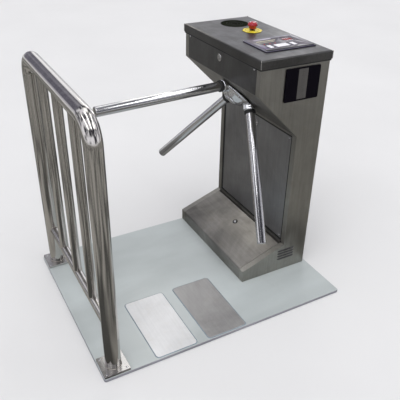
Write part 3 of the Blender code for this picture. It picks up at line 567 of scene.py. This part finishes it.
def make_rail():
    """The hoop and its bars in smooth tube, with weld beads, flanges and anchor bolts."""
    bend_y, bend_z = RAIL_Y - RAIL_BEND, RAIL_TOP - RAIL_BEND
    steps = 24
    path = [(RAIL_X, -RAIL_Y, FLANGE_TOP), (RAIL_X, -RAIL_Y, bend_z - 0.05)]
    for sign in (-1, 1):
        for step in range(steps + 1):
            a = math.pi / 2 * (step if sign < 0 else steps - step) / steps
            y, z = bend_y + RAIL_BEND * math.cos(a), bend_z + RAIL_BEND * math.sin(a)
            path.append((RAIL_X, sign * y, z))
        if sign < 0:
            path += [(RAIL_X, y, RAIL_TOP) for y in (-0.2, -0.1, 0.0, 0.1, 0.2)]
    path += [(RAIL_X, RAIL_Y, bend_z - 0.05), (RAIL_X, RAIL_Y, FLANGE_TOP)]
    rail_tube("rail_hoop_tube", path, RAIL_RADIUS, 64, "guard_rail_hoop")

    reach = RAIL_Y - RAIL_RADIUS + 0.004
    ends = [(RAIL_X, -reach, LOWER_Z), (RAIL_X, reach, LOWER_Z)]
    rail_tube("rail_cross_tube", ends, LOWER_RADIUS, 48, "rail_lower_tube")

    beads = []
    for y in (-RAIL_Y, RAIL_Y):
        inward = -1 if y > 0 else 1
        foot = y + inward * (RAIL_RADIUS - 0.001)
        beads.append(ring((RAIL_X, foot, LOWER_Z), (0, 1, 0), LOWER_RADIUS, 0.0016))
        beads.append(ring((RAIL_X, y, FLANGE_TOP), UP, RAIL_RADIUS, 0.0022))
    for number, y in enumerate((-RAIL_Y / 2, 0.0, RAIL_Y / 2), 1):
        ends = [(RAIL_X, y, LOWER_Z + 0.010), (RAIL_X, y, RAIL_TOP - 0.020)]
        rail_tube(f"rail_bar_tube_{number}", ends, BAR_RADIUS, 40, f"rail_bar_{number}")
        for z in (LOWER_Z + LOWER_RADIUS - 0.003, RAIL_TOP - RAIL_RADIUS + 0.003):
            beads.append(ring((RAIL_X, y, z), UP, BAR_RADIUS, 0.0014))
    build("rail_weld_beads", "weld_bead", "structure", beads, 60)

    bolt_reach, bolt_seat = 0.038, FLANGE_TOP - 0.0002
    for end, y in (("front", -RAIL_Y), ("rear", RAIL_Y)):
        soften(f"rail_flange_{end}", "polished_plate", 0.0010, 3)
        bolts = []
        for sx, sy in CORNER_SIGNS:
            spot = (RAIL_X + sx * bolt_reach, y + sy * bolt_reach, bolt_seat)
            bolts.append(pan_screw(spot, UP, 0.0050, 0.0012))
        build(f"rail_anchor_bolts_{end}", "screw_steel", "structure", bolts, 30)


# ---------------------------------------------------------------- cabinet
def add_screws(name, spots, axis, radius, height):
    """Cabinet screws of one size, all facing the same way."""
    screws = [pan_screw(spot, axis, radius, height) for spot in spots]
    build(name, "screw_steel", "structure", screws)


def make_cabinet():
    """The cabinet's sheets, indicators and locks, and the small fittings on them."""
    for node, material, width in (
        ("front_end_plate", "sheet_front", 0.0007),
        ("rear_end_plate", "sheet_front", 0.0007),
        ("outer_side_panel", "sheet_upright", 0.0005),
        ("access_panel", "sheet_access", 0.0005),
        ("head_side_panel", "sheet_head", 0.0005),
        ("mechanism_face_plate", "sheet_lengthwise", 0.0006),
    ):
        soften(node, material, width)
    make_foot_cover()
    finish_node("access_panel_gasket", "black_rubber")
    for end in ("front", "rear"):
        soften(f"{end}_indicator_frame", "black_plastic", 0.0008)
        soften(f"{end}_indicator_lens", "diffuser", 0.0004)
    for node in ("lid_lock", "access_lock"):
        soften(node, "screw_steel", 0.0004)

    head = [(0.203, y, 0.937) for y in (-0.128, 0.356)]
    add_screws("head_side_screws", head, TO_PASSAGE, 0.0048, 0.0028)

    collar = [(0.0150, 0.0), (0.0150, 0.0008), (0.0140, 0.0013), (0.0114, 0.0013)]
    locks = ((0.2027, 0.914), (0.3962, 0.606))
    rings = [turned(collar, 36, (x, MID_Y, z), TO_PASSAGE) for x, z in locks]
    build("lock_escutcheons", "polished_plate", "structure", rings)

    slope = Vector((-0.0705, 0, 0.196)).normalized()
    spot = Vector((0.322, MID_Y + 0.004, 0.1154))
    dome = [(0.0085, 0.0), (0.0085, 0.0010), (0.0070, 0.0036), (0.0045, 0.0052), (0.0012, 0.0058)]
    # Black rubber ring under the dome bolt, partly real, partly painted shadow round the bolt.
    shadow_washer = [(0.0125, 0.0), (0.0125, 0.0008), (0.0118, 0.0012)]
    build("foot_dome_bolt", "screw_steel", "structure", [turned(dome, 32, spot, slope)])
    build("foot_bolt_shadow_washer", "black_rubber", "structure", [turned(shadow_washer, 32, spot, slope)])

    access = [(0.3965, y, z) for y, z in product((-0.122, 0.350), (0.165, 0.630))]
    add_screws("access_panel_screws", access, TO_PASSAGE, 0.0036, 0.0018)

    rows = product((-0.130, 0.114, 0.358), (0.045, 0.330, 0.620, 0.900))
    outer = [(0.508, y, z) for y, z in rows]
    add_screws("outer_panel_screws", outer, TO_OUTSIDE, 0.0042, 0.0020)

    # The hoods take the dark head sheet, not the end plates' own: painted shade of the vent slots
    # under them.
    hoods = [louvre_hood(y, out, row) for _, y, out in END_FACES for row in range(4)]
    build("louvre_hoods", "sheet_head", "structure", hoods, 40)

    for end, y, out in END_FACES:
        lens = y + out * (0.0003 + 0.005)
        lamps = []
        for row in range(7):
            spot = (0.388, lens - out * 0.0012, 0.8715 + (row - 3) * 0.0155)
            lamps.append(ring(spot, (0, out, 0), 0.0042, 0.0005, 20, 6))
        build(f"{end}_indicator_lamp_rings", "diffuser", "structure", lamps)


def louvre_hood(y, out, row):
    """One pressed vent hood, pinched at both ends and open below."""
    z = 0.066 + 0.014 * row
    loops = []
    for x, fullness in ((0.362, 0.15), (0.368, 1.0), (0.442, 1.0), (0.448, 0.15)):
        d = out * 0.0042 * fullness
        section = [(0.0, 0.0045), (d, 0.0052), (d, 0.0066), (0.0, 0.0098)]
        loops.append([(x, y + a, z + b) for a, b in section])
    return loops, False


def make_foot_cover():
    """The folded sheet over the foot: upright, rounded fold, slope and the sill under the panel."""
    x0, x1, sheet = 0.185, 0.381, 0.0015
    fold, slope_end = Vector((x0, 0.066)), Vector((x1, 0.1365))
    radius, steps = 0.009, 8
    along = (slope_end - fold).normalized()
    turn = math.atan2(along.y, along.x)
    sweep = math.pi / 2 - turn
    reach = radius * math.tan(sweep / 2)
    centre = fold + Vector((radius, -reach))
    outer, inner = [Vector((x0, 0.0126))], [Vector((x0 + sheet, 0.0126))]
    for step in range(steps + 1):
        a = math.pi - sweep * step / steps
        ray = Vector((math.cos(a), math.sin(a)))
        outer.append(centre + ray * radius)
        inner.append(centre + ray * (radius - sheet))
    down = Vector((along.y, -along.x)) * sheet
    sill = [(x1, 0.1300), (0.3870, 0.1300), (0.3870, 0.1470), (0.4030, 0.1470)]
    under = [(x1 - sheet, 0.1285), (0.3885, 0.1285), (0.3885, 0.1455), (0.4030, 0.1455)]
    outer += [slope_end] + [Vector(p) for p in sill]
    inner += [slope_end + down + Vector((-0.0008, 0))] + [Vector(p) for p in under]
    outline = outer + inner[::-1]
    loops = [[(p.x, y, p.y) for p in outline] for y in (-0.143, 0.371)]
    cover = build("foot_cover_folded", "sheet_slope", "structure", [(loops, False)], 30)
    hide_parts("foot_cover")


# ---------------------------------------------------------------- lid and its controls
READER_X, READER_Y, READER_RADIUS = 0.389, 0.311, 0.059
PANEL_TOP = LID_TOP + 0.0003 + 0.003
OPENING_CORNER = 0.0015
KEYS_Y, KEYS_DEPTH = -0.052, 0.032
DISPLAY_X, DISPLAY_Y, DISPLAY_SIZE = 0.440, 0.012, 0.046
ESTOP_X, ESTOP_Y = 0.393, 0.182


def make_lid():
    """The lid with its hinge, a black rubber strip under the skirt that also paints the seam's
    shadow line, corner weld beads that also paint highlights on its corners, and reader window.
    """
    soften("lid", "lid_sheet", 0.0008, 2, 20)
    soften("lid_hinge_moving_leaf", "sheet_lengthwise", 0.0003)
    soften("lid_hinge_fixed_leaf", "sheet_lengthwise", 0.0003)
    finish_node("lid_hinge_pin", "machined")

    # Black rubber strip under the skirt, partly real, partly painted shadow of the seam.
    seal_shadow = []
    for inset, z in ((0.0012, 0.9432), (0.0012, 0.9476), (0.0056, 0.9476), (0.0056, 0.9432)):
        seal_shadow.append(rectangle_loop((0.3555, MID_Y), (0.317, 0.580), -inset, z, 0.005, 5))
    build("lid_seal", "black_rubber", "lid", [(seal_shadow, True)])

    # Bright corner weld beads, partly real, partly painted highlight on the lid's corners.
    bead = [(0.0006, 0.9492), (0.0018, 0.9502), (0.0018, 0.9788), (0.0006, 0.9797)]
    inset = 0.0011
    spots = product((LID_X[0] + inset, LID_X[1] - inset), (LID_Y[0] + inset, LID_Y[1] - inset))
    weld_highlights = [turned(bead, 16, (x, y, 0)) for x, y in spots]
    build("lid_corner_welds_highlights", "screw_steel", "lid", weld_highlights)

    soften("reader_window", "smoked", 0.0004)
    outer, inner = READER_RADIUS + 0.0018, READER_RADIUS - 0.0004
    rim = [(outer, 0.9799), (outer, 0.9803), (inner, 0.9805), (inner, 0.9796)]
    rim = turned(rim, 72, (READER_X, READER_Y, 0))
    build("reader_rim", "black_rubber", "lid", [rim])
    centre = (READER_X, READER_Y, LID_TOP + 0.0004)
    waves = [ring(centre, UP, r, 0.0004, 56, 6) for r in (0.014, 0.024, 0.034)]
    build("reader_target_rings", "black_rubber", "lid", waves)


def raised_plate(centre, size, height, corner, edge=0.0002):
    """A thin print or label lying on the counter panel."""
    return plate(centre, size, PANEL_TOP, PANEL_TOP + height, corner, edge)


def make_counter_panel():
    """The counter's frame, face, keys, display, labels, lamps and screws."""
    soften("counter_panel", "panel_border", 0.0008)
    keys = ((0.319, 0.018), (0.371, 0.058), (0.423, 0.018))
    holes = [((x, KEYS_Y), (w, KEYS_DEPTH)) for x, w in keys]
    holes.append(((DISPLAY_X, DISPLAY_Y), (DISPLAY_SIZE, DISPLAY_SIZE)))
    cut_panel_face(holes)

    soften("counter_display", "red_window")
    for side in ("left", "middle", "right"):
        soften(f"counter_key_{side}", "key_white", 0.0012, 3)

    frames = []
    for centre, size in holes:
        section = []
        for grow, rise, corner in (
            (0.0025, 0.0, 0.003),
            (0.0025, 0.0009, 0.003),
            (0.0002, 0.0009, 0.0018),
            (0.0002, 0.0, 0.0018),
        ):
            section.append(rectangle_loop(centre, size, grow, PANEL_TOP + rise, corner, 5))
        frames.append((section, True))
    build("panel_opening_frames", "panel_border", "lid", frames)

    cream = [raised_plate((0.347, 0.020), (0.086, 0.008), 0.0006, 0.0015)]
    cream.append(raised_plate((0.340, 0.004), (0.072, 0.004), 0.0006, 0.0010))
    build("panel_label_strips", "printed_cream", "lid", cream)
    name_field = raised_plate((0.345, 0.042), (0.078, 0.010), 0.0008, 0.0020, 0.0003)
    left_field = raised_plate((0.2935, -0.048), (0.020, 0.046), 0.0006, 0.0020)
    # A black band along the panel's front edge: painted shadow under that edge.
    front_shadow_band = raised_plate((0.385, -0.0880), (0.216, 0.012), 0.0008, 0.0015, 0.0003)
    build("panel_name_field", "label_lavender", "lid", [name_field])
    build("panel_left_field", "panel_violet", "lid", [left_field])
    build("panel_front_shadow_band", "black_plastic", "lid", [front_shadow_band])

    (cx, cy), (reach_x, reach_y) = (0.383, -0.018), (0.1085, 0.0775)
    screws = []
    for sx, sy in CORNER_SIGNS:
        spot = (cx + sx * reach_x, cy + sy * reach_y, PANEL_TOP)
        screws.append(pan_screw(spot, UP, 0.0024, 0.0012))
    build("panel_screws", "screw_steel", "lid", screws)

    dome = [(0.0026, 0.0), (0.0026, 0.0010), (0.0018, 0.0018), (0.0004, 0.0021)]
    lamps = [turned(dome, 20, (x, cy, PANEL_TOP)) for x in (0.316, 0.340, 0.364)]
    build("panel_lamps", "digit_red", "lid", lamps)

    low, high, pitch, figures = PANEL_TOP - 0.0004, PANEL_TOP + 0.0002, 0.0098, 4
    segments = []
    for number in range(figures):
        middle = DISPLAY_X + (number - (figures - 1) / 2) * pitch
        for dx, dy, w, d in digit_bars():
            centre = (middle + dx, DISPLAY_Y + dy)
            segments.append(plate(centre, (w, d), low, high, 0.0003, 0.0001))
    build("display_digits", "digit_red", "lid", segments)


def cut_panel_face(holes):
    """The panel's printed face, with real openings for the keys and the display."""
    low, high = PANEL_TOP - 0.0002, PANEL_TOP + 0.0003
    face = plate((0.385, -0.014), (0.208, 0.138), low, high, 0.004)
    face = build("counter_panel_face", "panel_face", "lid", [face])
    cutters = []
    for centre, size in holes:
        cutters.append(plate(centre, size, PANEL_TOP - 0.01, PANEL_TOP + 0.01, OPENING_CORNER))
    helper = build("counter_panel_cutter", "panel_face", "lid", cutters)
    modifier = face.modifiers.new("openings", "BOOLEAN")
    modifier.operation = "DIFFERENCE"
    modifier.solver = "EXACT"
    modifier.object = helper
    cut_mesh = evaluated_mesh(face)
    face.modifiers.clear()
    face.data = cut_mesh
    bpy.data.objects.remove(helper)


def digit_bars():
    """The six outer bars of a seven-bar figure nought: offset and size of each."""
    w, h, t = 0.0052, 0.0150, 0.0011
    bars = [(0.0, h / 2, w, t), (0.0, -h / 2, w, t)]
    for sx, sy in CORNER_SIGNS:
        bars.append((sx * w / 2, sy * h / 4, t, h / 2 - t))
    return bars


def make_estop():
    """The emergency stop: legend plate, collar, mushroom knob and its turn marks."""
    base = (ESTOP_X, ESTOP_Y, 0)
    soften("estop_legend_plate", "legend_yellow")
    finish_node("estop_stem", "black_plastic")
    collar = [
        (0.017, 0.935),
        (0.017, 0.9775),
        (0.0110, 0.9775),
        (0.0110, 0.9826),
        (0.0122, 0.9826),
        (0.0122, 0.9833),
        (0.0117, 0.9838),
        (0.0062, 0.9838),
        (0.0062, 0.948),
    ]
    body = build("estop_body_turned", "black_plastic", "lid", [turned(collar, 48, base)])
    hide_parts("estop_body")
    groove = ring((ESTOP_X, ESTOP_Y, 0.9823 + 0.0001), UP, 0.028, 0.0005, 56, 6)
    build("estop_plate_ring", "black_plastic", "lid", [groove])

    mushroom = [
        (0.0060, 0.9892),
        (0.0144, 0.9892),
        (0.0151, 0.9899),
        (0.0152, 0.9975),
        (0.0160, 0.9988),
        (0.0190, 0.9996),
        (0.0200, 1.0010),
        (0.0202, 1.0040),
        (0.0196, 1.0078),
        (0.0176, 1.0115),
        (0.0140, 1.0142),
        (0.0090, 1.0160),
        (0.0040, 1.0167),
        (0.0004, 1.0169),
    ]
    knob = turned(mushroom, 56, base)
    knob = build("estop_knob_turned", "button_red", "estop_knob", [knob], 60)
    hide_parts("estop_knob")

    marks = []
    for number in range(3):
        angles = [2 * math.pi * number / 3 + math.radians(70) * step / 8 for step in range(9)]
        outline = []
        for r, z, sweep in ((0.0118, 1.0153, angles), (0.0100, 1.0159, angles[::-1])):
            for a in sweep:
                outline.append((ESTOP_X + r * math.cos(a), ESTOP_Y + r * math.sin(a), z))
        low, high = ([(x, y, z + rise) for x, y, z in outline] for rise in (-0.0010, 0.0003))
        marks.append(([low, high], False))
    build("estop_turn_marks", "key_white", "estop_knob", marks)


# ---------------------------------------------------------------- tripod
APEX = Vector((0, 0, -0.064))  # where the arms' axes meet, in the tripod's frame
ARM_RADIUS, ARM_START, ARM_TIP = 0.019, 0.1195, 0.666
ARM_TURN = math.radians(-5)


def arm_direction(number):
    """The way an arm points in the tripod's frame, from the apex."""
    turn = ARM_TURN + 2 * math.pi * number / 3
    return Vector((S45 * math.cos(turn), S45 * math.sin(turn), S45))


def upright_on(direction):
    """The direction square to an arm that leans most towards the tripod's Z."""
    return (Vector(UP) - direction * direction.z).normalized()


def make_hub():
    """The cast hub: flange, raised middle and three sockets melted into one skin."""
    flange = [
        (0.081, 0.0040),
        (0.084, 0.0060),
        (0.084, 0.0095),
        (0.079, 0.0125),
        (0.062, 0.0185),
        (0.045, 0.0330),
        (0.036, 0.0375),
        (0.010, 0.0385),
    ]
    socket = ((0.070, 0.0235), (0.090, 0.0265), (0.1225, 0.0265), (0.1262, 0.0235))
    shapes = [turned(flange, 72)]
    for number in range(3):
        d = arm_direction(number)
        flat_up = (Matrix.Rotation(math.pi / 8, 3, d) @ upright_on(d)).normalized()
        loops = [circle(APEX + d * reach, d, radius, 8, flat_up) for reach, radius in socket]
        shapes.append((loops, False))
    hub = build("hub_casting", "hub_chrome", "tripod", shapes, 60)
    trim_below(hub.data, flange[0][1])
    remesh = hub.modifiers.new("casting", "REMESH")
    remesh.mode = "VOXEL"
    remesh.voxel_size = 0.0014
    smooth = hub.modifiers.new("fillets", "SMOOTH")
    smooth.factor = 0.5
    smooth.iterations = 4
    cast = evaluated_mesh(hub)
    hub.modifiers.clear()
    cast.transform(MECHANISM)
    cast.shade_smooth()
    hub.data = cast
    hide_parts("tripod_hub")

    cap = [
        (0.0300, 0.0375),
        (0.0300, 0.0400),
        (0.0285, 0.0420),
        (0.0220, 0.0440),
        (0.0120, 0.0452),
        (0.0010, 0.0455),
    ]
    cap = build("hub_cap_turned", "hub_chrome", "tripod", [turned(cap, 56)], 50, MECHANISM)
    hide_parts("hub_cap")

    screws = []
    for number in range(3):
        a = ARM_TURN + math.radians(60 + 120 * number)
        spot = (0.068 * math.cos(a), 0.068 * math.sin(a), 0.0155)
        screws.append(pan_screw(spot, UP, 0.0052, 0.0038))
    for number in range(3):
        d = arm_direction(number)
        up = upright_on(d)
        for reach in (0.101, 0.117):
            screws.append(pan_screw(APEX + d * reach + up * 0.0243, up, 0.0044, 0.0028))
    build("hub_screws", "screw_steel", "tripod", screws, 35, MECHANISM)


def trim_below(mesh, height):
    """Cut away what lies below a height and close the mesh there."""
    bm = bmesh.new()
    bm.from_mesh(mesh)
    plane = {"plane_co": (0, 0, height), "plane_no": UP, "clear_inner": True}
    everything = bm.verts[:] + bm.edges[:] + bm.faces[:]
    cut = bmesh.ops.bisect_plane(bm, geom=everything, **plane)
    edges = [e for e in cut["geom_cut"] if isinstance(e, bmesh.types.BMEdge)]
    bmesh.ops.holes_fill(bm, edges=edges)
    bmesh.ops.recalc_face_normals(bm, faces=bm.faces)
    bm.to_mesh(mesh)
    bm.free()


def make_arms():
    """The three tubes with their end caps and the black collars at their roots."""
    r, base = ARM_RADIUS, MECHANISM @ APEX
    tube = [
        (r - 0.002, ARM_START),
        (r, ARM_START),
        (r, ARM_TIP - 0.020),
        (r, ARM_TIP - 0.0045),
        (r - 0.003, ARM_TIP - 0.0045),
    ]
    end = [
        (r - 0.002, ARM_TIP - 0.010),
        (r - 0.0004, ARM_TIP - 0.0041),
        (r, ARM_TIP - 0.0037),
        (r, ARM_TIP - 0.0022),
        (r - 0.0012, ARM_TIP - 0.0007),
        (r - 0.0040, ARM_TIP - 0.0001),
        (0.002, ARM_TIP),
    ]
    collar = [
        (r - 0.001, 0.1275),
        (r + 0.0036, 0.1275),
        (r + 0.0042, 0.1285),
        (r + 0.0042, 0.1375),
        (r + 0.0034, 0.1390),
        (r - 0.001, 0.1390),
    ]
    for number in range(3):
        axis = (MECHANISM.to_3x3() @ arm_direction(number)).normalized()
        for name, material, profile, segments, node in (
            ("arm_tube", "arm_chrome", tube, 64, "arm"),
            ("arm_end_cap", "arm_chrome", end, 64, "arm_cap"),
            ("arm_collar", "black_rubber", collar, 56, None),
        ):
            shape = turned(profile, segments, base, axis)
            piece = build(f"{name}_{number + 1}", material, "tripod", [shape], 40)
            if node:
                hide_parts(f"{node}_{number + 1}")


# ---------------------------------------------------------------- inside the head
def make_mechanism():
    """Materials of the works inside the head, and the chassis screws."""
    for material, nodes in (
        ("aluminium", "mechanism_chassis power_supply"),
        ("machined", "drive_shaft index_cam lock_ratchet detent_arm detent_roller"),
        ("machined", "pawl_entry pawl_exit plunger_entry plunger_exit"),
        ("coil", "solenoid_entry solenoid_exit"),
        ("board", "control_board"),
    ):
        for node in nodes.split():
            finish_node(node, material)

    reach, seat = 0.108, -0.0103
    screws = []
    for sx, sy in CORNER_SIGNS:
        screws.append(pan_screw((sx * reach, sy * reach, seat), (0, 0, -1), 0.0065, 0.0040))
    build("chassis_screws", "screw_steel", "structure", screws, 35, MECHANISM)


# ---------------------------------------------------------------- stage, lights and camera
def stage_plane(name, size, z, material):
    """A level square that belongs to the studio."""
    mesh = bpy.data.meshes.new(name)
    h = size / 2
    mesh.from_pydata([(-h, -h, z), (h, -h, z), (h, h, z), (-h, h, z)], [], [(0, 1, 2, 3)])
    obj = bpy.data.objects.new(name, mesh)
    bpy.context.collection.objects.link(obj)
    mesh.materials.append(material)
    return obj


def hide_from(obj, *kinds):
    """Switch off kinds of light path that would see the object."""
    for kind in kinds:
        setattr(obj, "visible_" + kind, False)


def sky_patch(tree, under, side, rise, outer, inner, most, colour):
    """A soft round patch of the sky, side degrees off +Y towards +X and rise degrees up.

    It fades in from outer to inner degrees off its middle, and is at most so opaque."""
    a, b = math.radians(side), math.radians(rise)
    centre = (math.sin(a) * math.cos(b), math.cos(a) * math.cos(b), math.sin(b))
    place = add_node(tree, "TexCoord").outputs["Generated"]
    vectors = {0: place, 1: centre}
    near = add_node(tree, "VectorMath", vectors, operation="DOT_PRODUCT").outputs["Value"]
    start, end = math.cos(math.radians(outer)), math.cos(math.radians(inner))
    return spotted(tree, near, most, start, end, under, colour)


def make_floor():
    """The pale floor, with painted shade that makes it a little darker towards the near side."""
    made, tree, shader = new_material("studio_floor", Roughness=0.85, Specular_IOR_Level=0.15)
    patches = noise(tree, 0.9, 3.0)
    tone = mottled(tree, patches, (0.742, 0.742, 0.738), (0.775, 0.775, 0.771))
    place = add_node(tree, "TexCoord").outputs["Object"]
    depth = add_node(tree, "SeparateXYZ", {"Vector": place}).outputs["Y"]
    # Painted shade: more grey is mixed in towards -Y, the near side.
    shade = remap(tree, depth, 0.10, 0.03, -1.6, 1.8)
    tone = blend_colours(tree, shade, tone, (0.30, 0.30, 0.30))
    tree.links.new(tone, shader.inputs["Base Color"])
    stage_plane("studio_floor", 40.0, -0.0005, made)


def make_flag():
    """A dark uneven floor that only reflections see, so the metal has something to mirror."""
    made, tree, shader = new_material("studio_flag", Roughness=0.9)
    patches = noise(tree, 1.9, 2.0, 0.5, 0.6)
    dark, light = (0.060, 0.060, 0.055), (0.37, 0.36, 0.33)
    tone = spotted(tree, patches, 1.0, 0.40, 0.60, dark, light)
    tree.links.new(tone, shader.inputs["Base Color"])
    flag = stage_plane("studio_flag", 12.0, 0.0005, made)
    hide_from(flag, "camera", "diffuse", "shadow", "transmission")


def make_wall():
    """A pale round backdrop that only the camera sees, so every view has a plain background."""
    sockets = {"Roughness": 1.0, "Specular_IOR_Level": 0.0, "Emission_Strength": 0.80}
    made, tree, shader = new_material("studio_wall", **sockets)
    patches = noise(tree, 0.15, 2.0)
    tone = mottled(tree, patches, (0.97, 0.97, 0.975), (1.0, 1.0, 1.0))
    tree.links.new(tone, shader.inputs["Emission Color"])
    dim = blend_colours(tree, 1.0, tone, (0.02, 0.02, 0.02), "MULTIPLY")
    tree.links.new(dim, shader.inputs["Base Color"])
    bm = bmesh.new()
    skin(bm, [circle((0, 0, z), UP, 19.4, 96) for z in (-0.2, 14.0)])
    wall = new_object("studio_wall", bm)
    wall.data.materials.append(made)
    hide_from(wall, "diffuse", "glossy", "shadow", "transmission")


def make_sky():
    """Blotchy bright and dark surroundings, which give the polished metal its streaks."""
    world = bpy.data.worlds.new("studio")
    world.use_nodes = True
    tree = world.node_tree
    place = add_node(tree, "TexCoord").outputs["Generated"]
    mapping = {"Vector": place, "Scale": (1.0, 1.0, 0.8), "Rotation": (0.0, 0.0, 1.8)}
    walls = add_node(tree, "Mapping", mapping).outputs["Vector"]
    cells = {"Vector": walls, "Scale": 3.4, "Detail": 1.5, "Distortion": 0.5}
    cells = add_node(tree, "TexNoise", cells).outputs["Fac"]
    dark, light = (0.045, 0.045, 0.055), (1.12, 1.12, 1.20)
    tint = spotted(tree, cells, 1.0, 0.43, 0.58, dark, light)
    tint = sky_patch(tree, tint, -8, 14, 30, 14, 0.80, (0.20, 0.195, 0.25))
    tint = sky_patch(tree, tint, 20, 13, 12, 6, 1.0, (1.25, 1.25, 1.30))
    tint = sky_patch(tree, tint, 28, 52, 15, 7, 1.0, (1.9, 1.9, 1.9))
    background = tree.nodes["Background"]
    tree.links.new(tint, background.inputs["Color"])
    background.inputs["Strength"].default_value = 1.0
    bpy.context.scene.world = world


def area_light(name, location, target, size, power, colour=(1, 1, 1)):
    """A rectangular lamp of a power in watts, facing the target."""
    data = bpy.data.lights.new(name, "AREA")
    data.shape = "RECTANGLE"
    data.size, data.size_y = size
    data.energy = power
    data.color = colour
    obj = bpy.data.objects.new(name, data)
    obj.location = location
    aim = Vector(target) - Vector(location)
    obj.rotation_euler = aim.to_track_quat("-Z", "Y").to_euler()
    bpy.context.collection.objects.link(obj)
    return obj


def make_lights():
    """A wide soft sun for all shading, and lamps that mostly draw highlights on the metal."""
    data = bpy.data.lights.new("wide_softbox", "SUN")
    data.energy = 2.05
    data.angle = math.radians(70)
    data.color = (1.0, 0.995, 0.985)
    sun = bpy.data.objects.new("wide_softbox", data)
    sun.rotation_euler = Vector((0.25, 0.30, -1.0)).to_track_quat("-Z", "Y").to_euler()
    hide_from(sun, "glossy")
    bpy.context.collection.objects.link(sun)

    y, height = -0.8, 3.3
    for number in range(3):
        x = -2.1 + 1.7 * number
        name = f"ceiling_strip_{number + 1}"
        strip = area_light(name, (x, y, height), (x, y, 0.0), (0.30, 3.2), 14)
        hide_from(strip, "diffuse")
    area_light("front_softbox", (1.6, -1.7, 3.2), (0.35, -0.17, 0.97), (0.9, 0.9), 6)
    side = area_light("side_strip", (2.6, 2.7, 0.9), (0.0, 0.0, 0.7), (0.35, 1.7), 7)
    hide_from(side, "diffuse")
    place, foot_slope, warm = (0.27, 0.95, 1.30), (0.28, -0.10, 0.10), (1.0, 0.95, 0.84)
    rear = area_light("rear_lamp", place, foot_slope, (0.30, 0.30), 0.75, warm)
    hide_from(rear, "diffuse")


def make_camera():
    """The photographer's place, solved from the object's corners."""
    place, lens = (-0.889, -1.7133, 1.5597), 50.1
    yaw, pitch, roll = math.radians(29.10), math.radians(-31.28), math.radians(1.08)
    level = Vector((math.cos(yaw), -math.sin(yaw), 0))
    flat = math.cos(pitch)
    ahead = Vector((math.sin(yaw) * flat, math.cos(yaw) * flat, math.sin(pitch)))
    upright = level.cross(ahead)
    right = math.cos(roll) * level + math.sin(roll) * upright
    up = -math.sin(roll) * level + math.cos(roll) * upright
    turn = Matrix((right, up, -ahead)).transposed().to_4x4()
    data = bpy.data.cameras.new("camera")
    data.lens = lens
    data.clip_end = 60.0
    obj = bpy.data.objects.new("camera", data)
    obj.matrix_world = Matrix.Translation(place) @ turn
    bpy.context.collection.objects.link(obj)
    bpy.context.scene.camera = obj
    bpy.context.scene.view_settings.view_transform = "Standard"


make_camera()
make_floor_plate()
make_rail()
make_cabinet()
make_lid()
make_counter_panel()
make_estop()
make_hub()
make_arms()
make_mechanism()
make_floor()
make_flag()
make_wall()
make_sky()
make_lights()
